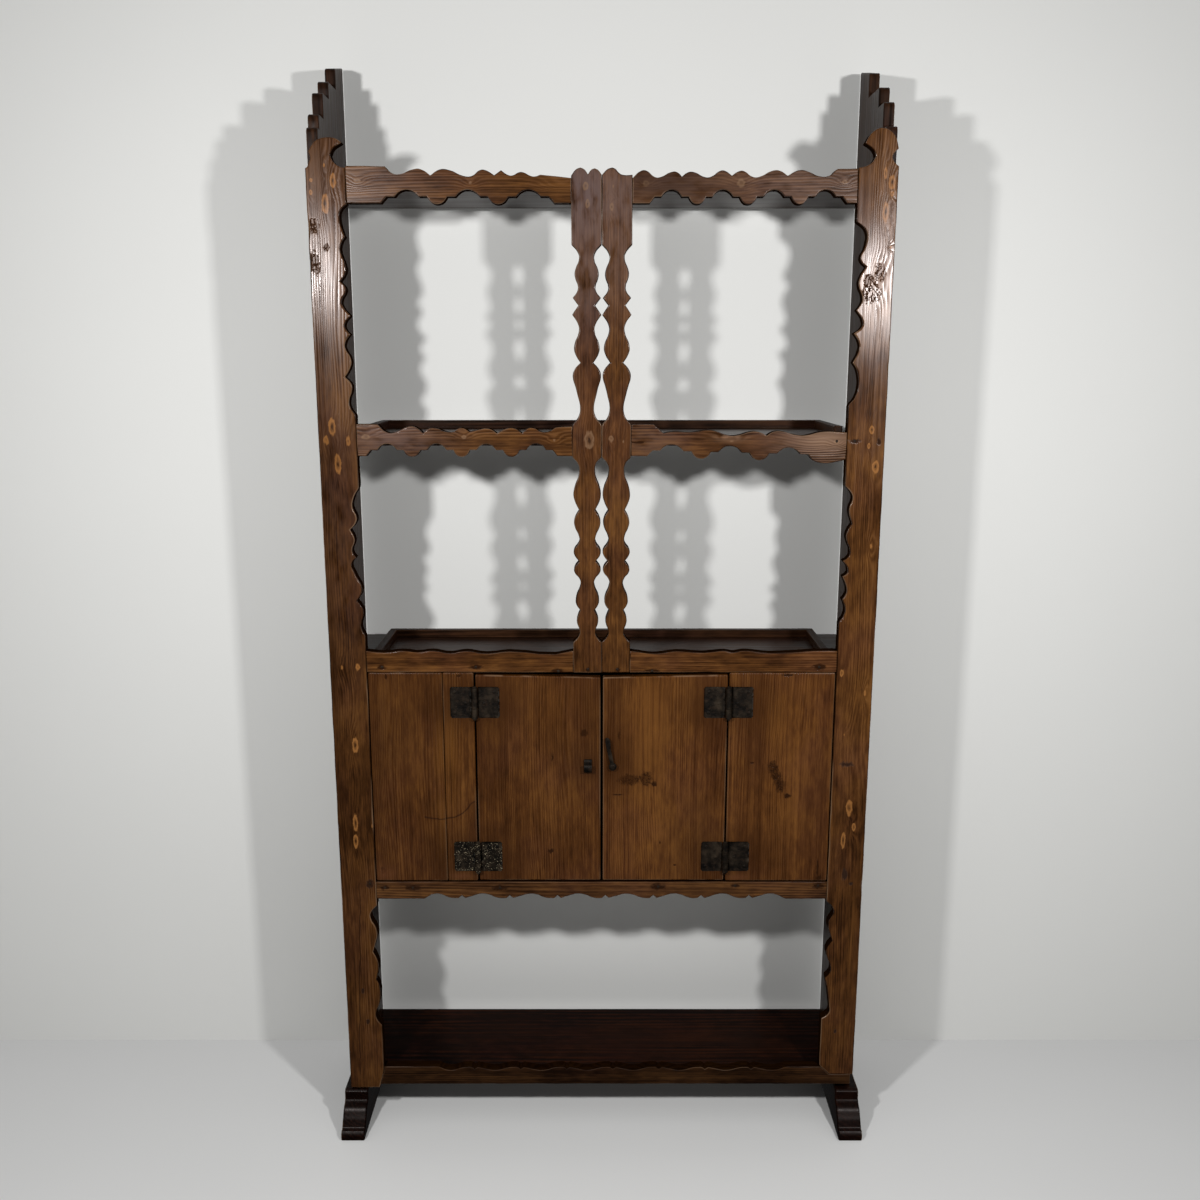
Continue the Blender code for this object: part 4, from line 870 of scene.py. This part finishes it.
def make_stage():
    """Plain floor and wall. The wall only shows from the front and lets light through."""
    for name, corners, colour in (
        ("floor", [(-6, -6, 0), (6, -6, 0), (6, 6, 0), (-6, 6, 0)], (0.785, 0.785, 0.775)),
        ("wall", [(-6, 0.1825, 0), (6, 0.1825, 0), (6, 0.1825, 5), (-6, 0.1825, 5)], (0.74, 0.74, 0.72)),
    ):
        g = Graph(f"{name}_paint")
        place = g.add("TexCoord").outputs["Object"]
        shade = g.noise(place, (2.0, 2.0, 2.0), 2.0)
        darker = tuple(0.96 * c for c in colour)
        g.put(g.shader.inputs["Base Color"], g.mix(shade, darker, colour))
        g.shader.inputs["Roughness"].default_value = 0.6
        g.shader.inputs["Specular IOR Level"].default_value = 0.2
        mesh = bpy.data.meshes.new(name)
        mesh.from_pydata(corners, [], [(0, 1, 2, 3)])
        mesh.materials.append(g.material)
        obj = bpy.data.objects.new(name, mesh)
        scene.collection.objects.link(obj)
        if name == "floor":
            obj.visible_glossy = False
        else:
            clear = g.add("BsdfTransparent")
            either = g.add("MixShader")
            g.put(either.inputs[0], g.add("NewGeometry").outputs["Backfacing"])
            g.put(either.inputs[1], g.shader.outputs[0])
            g.put(either.inputs[2], clear.outputs[0])
            g.put(g.tree.nodes["Material Output"].inputs["Surface"], either.outputs[0])
            obj.visible_shadow = False
            obj.visible_diffuse = False
    world = bpy.data.worlds.new("room")
    world.use_nodes = True
    tree = world.node_tree
    place = tree.nodes.new("ShaderNodeTexCoord")
    split = tree.nodes.new("ShaderNodeSeparateXYZ")
    sky = tree.nodes.new("ShaderNodeValToRGB")
    for element, (position, level) in zip(sky.color_ramp.elements, ((0.0, 0.04), (0.9, 0.38))):
        element.position = position
        element.color = (level, level, level, 1.0)
    tree.links.new(place.outputs["Generated"], split.inputs[0])
    tree.links.new(split.outputs["Z"], sky.inputs["Fac"])
    tree.links.new(sky.outputs["Color"], tree.nodes["Background"].inputs["Color"])
    tree.nodes["Background"].inputs["Strength"].default_value = 1.0
    scene.world = world
    make_lamp("lamp_left", (-0.86, -1.555, 1.67), (0, 0, 1.0), (0.10, 0.10), 21.0)
    make_lamp("lamp_right", (0.86, -1.555, 1.64), (0, 0, 1.0), (0.10, 0.10), 21.0)


def make_frame_pieces():
    for number, side in enumerate(("left", "right")):
        outer = FACING_LEFT if side == "left" else FACING_RIGHT
        # Dark materials for the sawn sides: partly darker sawn wood, partly painted shade
        upright = wood(f"sawn_upright_{side}", "xyz", FRAME_TONES, 220, 8.1 + number, 0.6, shade=0.4, shine=0.0)
        lying = wood(f"sawn_lying_{side}", "zyx", FRAME_TONES, 220, 9.4 + number, 0.6, shade=0.4, shine=0.0)
        carved(f"stile_{side}", FACING_FRONT,
               wood(f"stile_{side}", "xyz", FRAME_TONES, 220, 1.3 + number, gloss=0.20 - 0.005 * number, relief=0.72,
                    shade=0.80 + 0.22 * number, shine=0.15 + 0.07 * number, contrast=1.35, lines=0.16, wear=0.9,
                    streaks=0.55),
               radius=0.0026, seed=number, edge=upright, painted_lit_tops=True)
        carved(f"baluster_{side}", FACING_FRONT,
               wood(f"baluster_{side}", "xyz", FRAME_TONES, 230, 3.7 + number, gloss=0.26, relief=0.5,
                    shade=1.0, shine=0.24, contrast=0.9, lines=0.07, mottled=0.8, wear=0.6),
               radius=0.0026, seed=2 + number, edge=upright, wider=BALUSTER_LAP)
        for row, (name, shade, relief, lines) in enumerate((
            ("top_rail", 0.95, 0.4, 0.12), ("plate_rail", 0.90, 0.9, 0.24), ("cupboard_rail", 1.06, 0.4, 0.12),
        )):
            # Plate and cupboard rails get painted light on their upward rounded edges
            painted_lit_tops = name != "top_rail"
            carved(f"{name}_{side}", FACING_FRONT,
                   wood(f"{name}_{side}", "zyx", FRAME_TONES, 230, 5.1 + number + 2 * row, gloss=0.25,
                        relief=relief, shade=shade, shine=0.20, contrast=1.35, lines=lines, wear=0.7, mottled=0.5),
                   radius=0.0022, seed=4 + number + 2 * row, edge=lying, painted_lit_tops=painted_lit_tops)
        carved(f"foot_{side}", outer,
               wood(f"foot_{side}", "zxy", DARK_TONES, 150, 12.4 + number, gloss=0.30, relief=0.15, shade=0.62,
                    shine=0.08, contrast=0.8),
               radius=0.0030, back_radius=0.0030, seed=10 + number)
        carved(f"side_board_{side}", outer,
               wood(f"side_board_{side}", "yxz", SIDE_TONES, 120, 14.2 + number, shine=0.08),
               radius=0.0018, back_radius=0.0018, seed=12 + number)
    for number, (name, shade, shine) in enumerate((("apron_rail", 0.84, 0.2), ("base_rail", 0.36, 0.12))):
        carved(name, FACING_FRONT,
               wood(name, "zyx", FRAME_TONES, 210, 16.5 + number, shade=shade, shine=shine, contrast=1.5, lines=0.2),
               seed=14 + number, edge=lying, painted_lit_tops=True)


def make_boards():
    shines = {"top_board": 0.10, "cupboard_top_board": 0.12, "bottom_shelf_board": 0.02}
    for number, name in enumerate((
        "top_board", "plate_shelf_board", "cupboard_top_board", "cupboard_floor_board", "bottom_shelf_board",
    )):
        dark = name == "bottom_shelf_board"
        tones = DARK_TONES if dark else SIDE_TONES
        plank(name, "x", wood(name, "yzx", tones, 90, 20.3 + number, relief=0.5, shine=shines.get(name, 0.28),
                              contrast=1.6 if dark else 1.0),
              seed=20 + number)
    stop_long = wood("stop_long", "yzx", SIDE_TONES, 160, 31.0, shine=0.05)
    stop_short = wood("stop_short", "xzy", SIDE_TONES, 160, 32.0, shine=0.05)
    for shelf in ("plate_shelf", "cupboard_top"):
        plank(f"{shelf}_stop_back", "x", stop_long, seed=31)
        for side in ("left", "right"):
            plank(f"{shelf}_stop_{side}", "y", stop_short, seed=32)
    for number in range(1, 5):
        name = f"cupboard_back_board_{number}"
        plank(name, "z", wood(name, "xyz", SIDE_TONES, 130, 40.0 + number), seed=40 + number, wider=BACK_BOARD_LAP)


def make_cupboard_front():
    for number, (name, body, shade) in enumerate((
        ("panel_left_wide", "cabinet", 0.76), ("panel_left_narrow", "cabinet", 0.80),
        ("door_left", "left_door", 0.80), ("door_right", "right_door", 0.90), ("panel_right", "cabinet", 0.92),
    )):
        finish = wood(name, "xyz", DOOR_TONES, 235, 50.2 + 1.7 * number, gloss=0.32, shade=shade, shine=0.16,
                      contrast=1.15, lines=0.18, wear=0.85 if name.startswith("door") else 0.55)
        plank(name, "z", finish, body, radius=0.0026, seed=50 + number,
              droop=DOOR_DROOP if name.startswith("door") else 0.0)


def make_ironwork():
    dark = iron("hinge_iron", 1.0)
    worn = iron("hinge_iron_worn", 2.0, 0.75)
    heads = {"cabinet": [], "left_door": [], "right_door": []}
    for side in ("left", "right"):
        for row in ("upper", "lower"):
            hinge = f"hinge_{side}_{row}"
            metal = worn if (side, row) == ("left", "lower") else dark
            low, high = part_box(f"{hinge}_fixed_leaf")
            third = (high.z - low.z) / 3
            gap = 0.0002
            outside = [(low.z, low.z + third - gap), (high.z - third + gap, high.z)]
            inside = [(low.z + third + gap, high.z - third - gap)]
            hinge_leaf(f"{hinge}_fixed_leaf", f"{hinge}_pin", "cabinet", metal, outside, len(hinge) + 0.7)
            hinge_leaf(f"{hinge}_door_leaf", f"{hinge}_pin", f"{side}_door", metal, inside, len(hinge) + 3.1)
            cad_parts[f"{hinge}_pin"].data.materials[0] = metal
            for leaf, body in (("fixed_leaf", "cabinet"), ("door_leaf", f"{side}_door")):
                low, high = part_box(f"{hinge}_{leaf}")
                swing = 1 if (leaf == "door_leaf") == (side == "left") else -1
                outer, inner = (high.x, low.x) if swing > 0 else (low.x, high.x)
                for share, up in ((0.16, 0.17), (0.18, 0.84), (0.55, 0.48)):
                    heads[body].append((outer + (inner - outer) * share, high.y - 0.0019,
                                        low.z + (high.z - low.z) * up, 0.0032))
    for body, places in heads.items():
        nail_heads(f"{body}_hinge_nails", body, places, dark)
    latch = iron("latch_iron", 3.0)
    carved("latch_bar", FACING_FRONT, latch, "latch", 0.0009, 0.0006, 0.00015, 60)
    carved("latch_keeper", FACING_RIGHT, latch, "left_door", 0.0005, 0.0005, 0.0001, 61)
    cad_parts["latch_stud"].data.materials[0] = latch


def make_nails():
    metal = iron("nail_iron", 5.0, rusty=0.25)
    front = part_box("stile_left")[0].y + 0.0004
    places = [
        (-384, 904), (-220, 904), (-76, 897), (-24, 900), (27, 900), (88, 897), (380, 904), (-395, 488),
        (-344, 488), (-185, 488), (103, 490), (243, 492), (394, 492), (394, 1296), (424, 1296), (-422, 496),
    ]
    nail_heads("frame_nails", "cabinet", [(x / 1000, front, z / 1000, 0.0026) for x, z in places], metal)


make_camera()
make_stage()
make_frame_pieces()
make_boards()
make_cupboard_front()
make_ironwork()
make_nails()
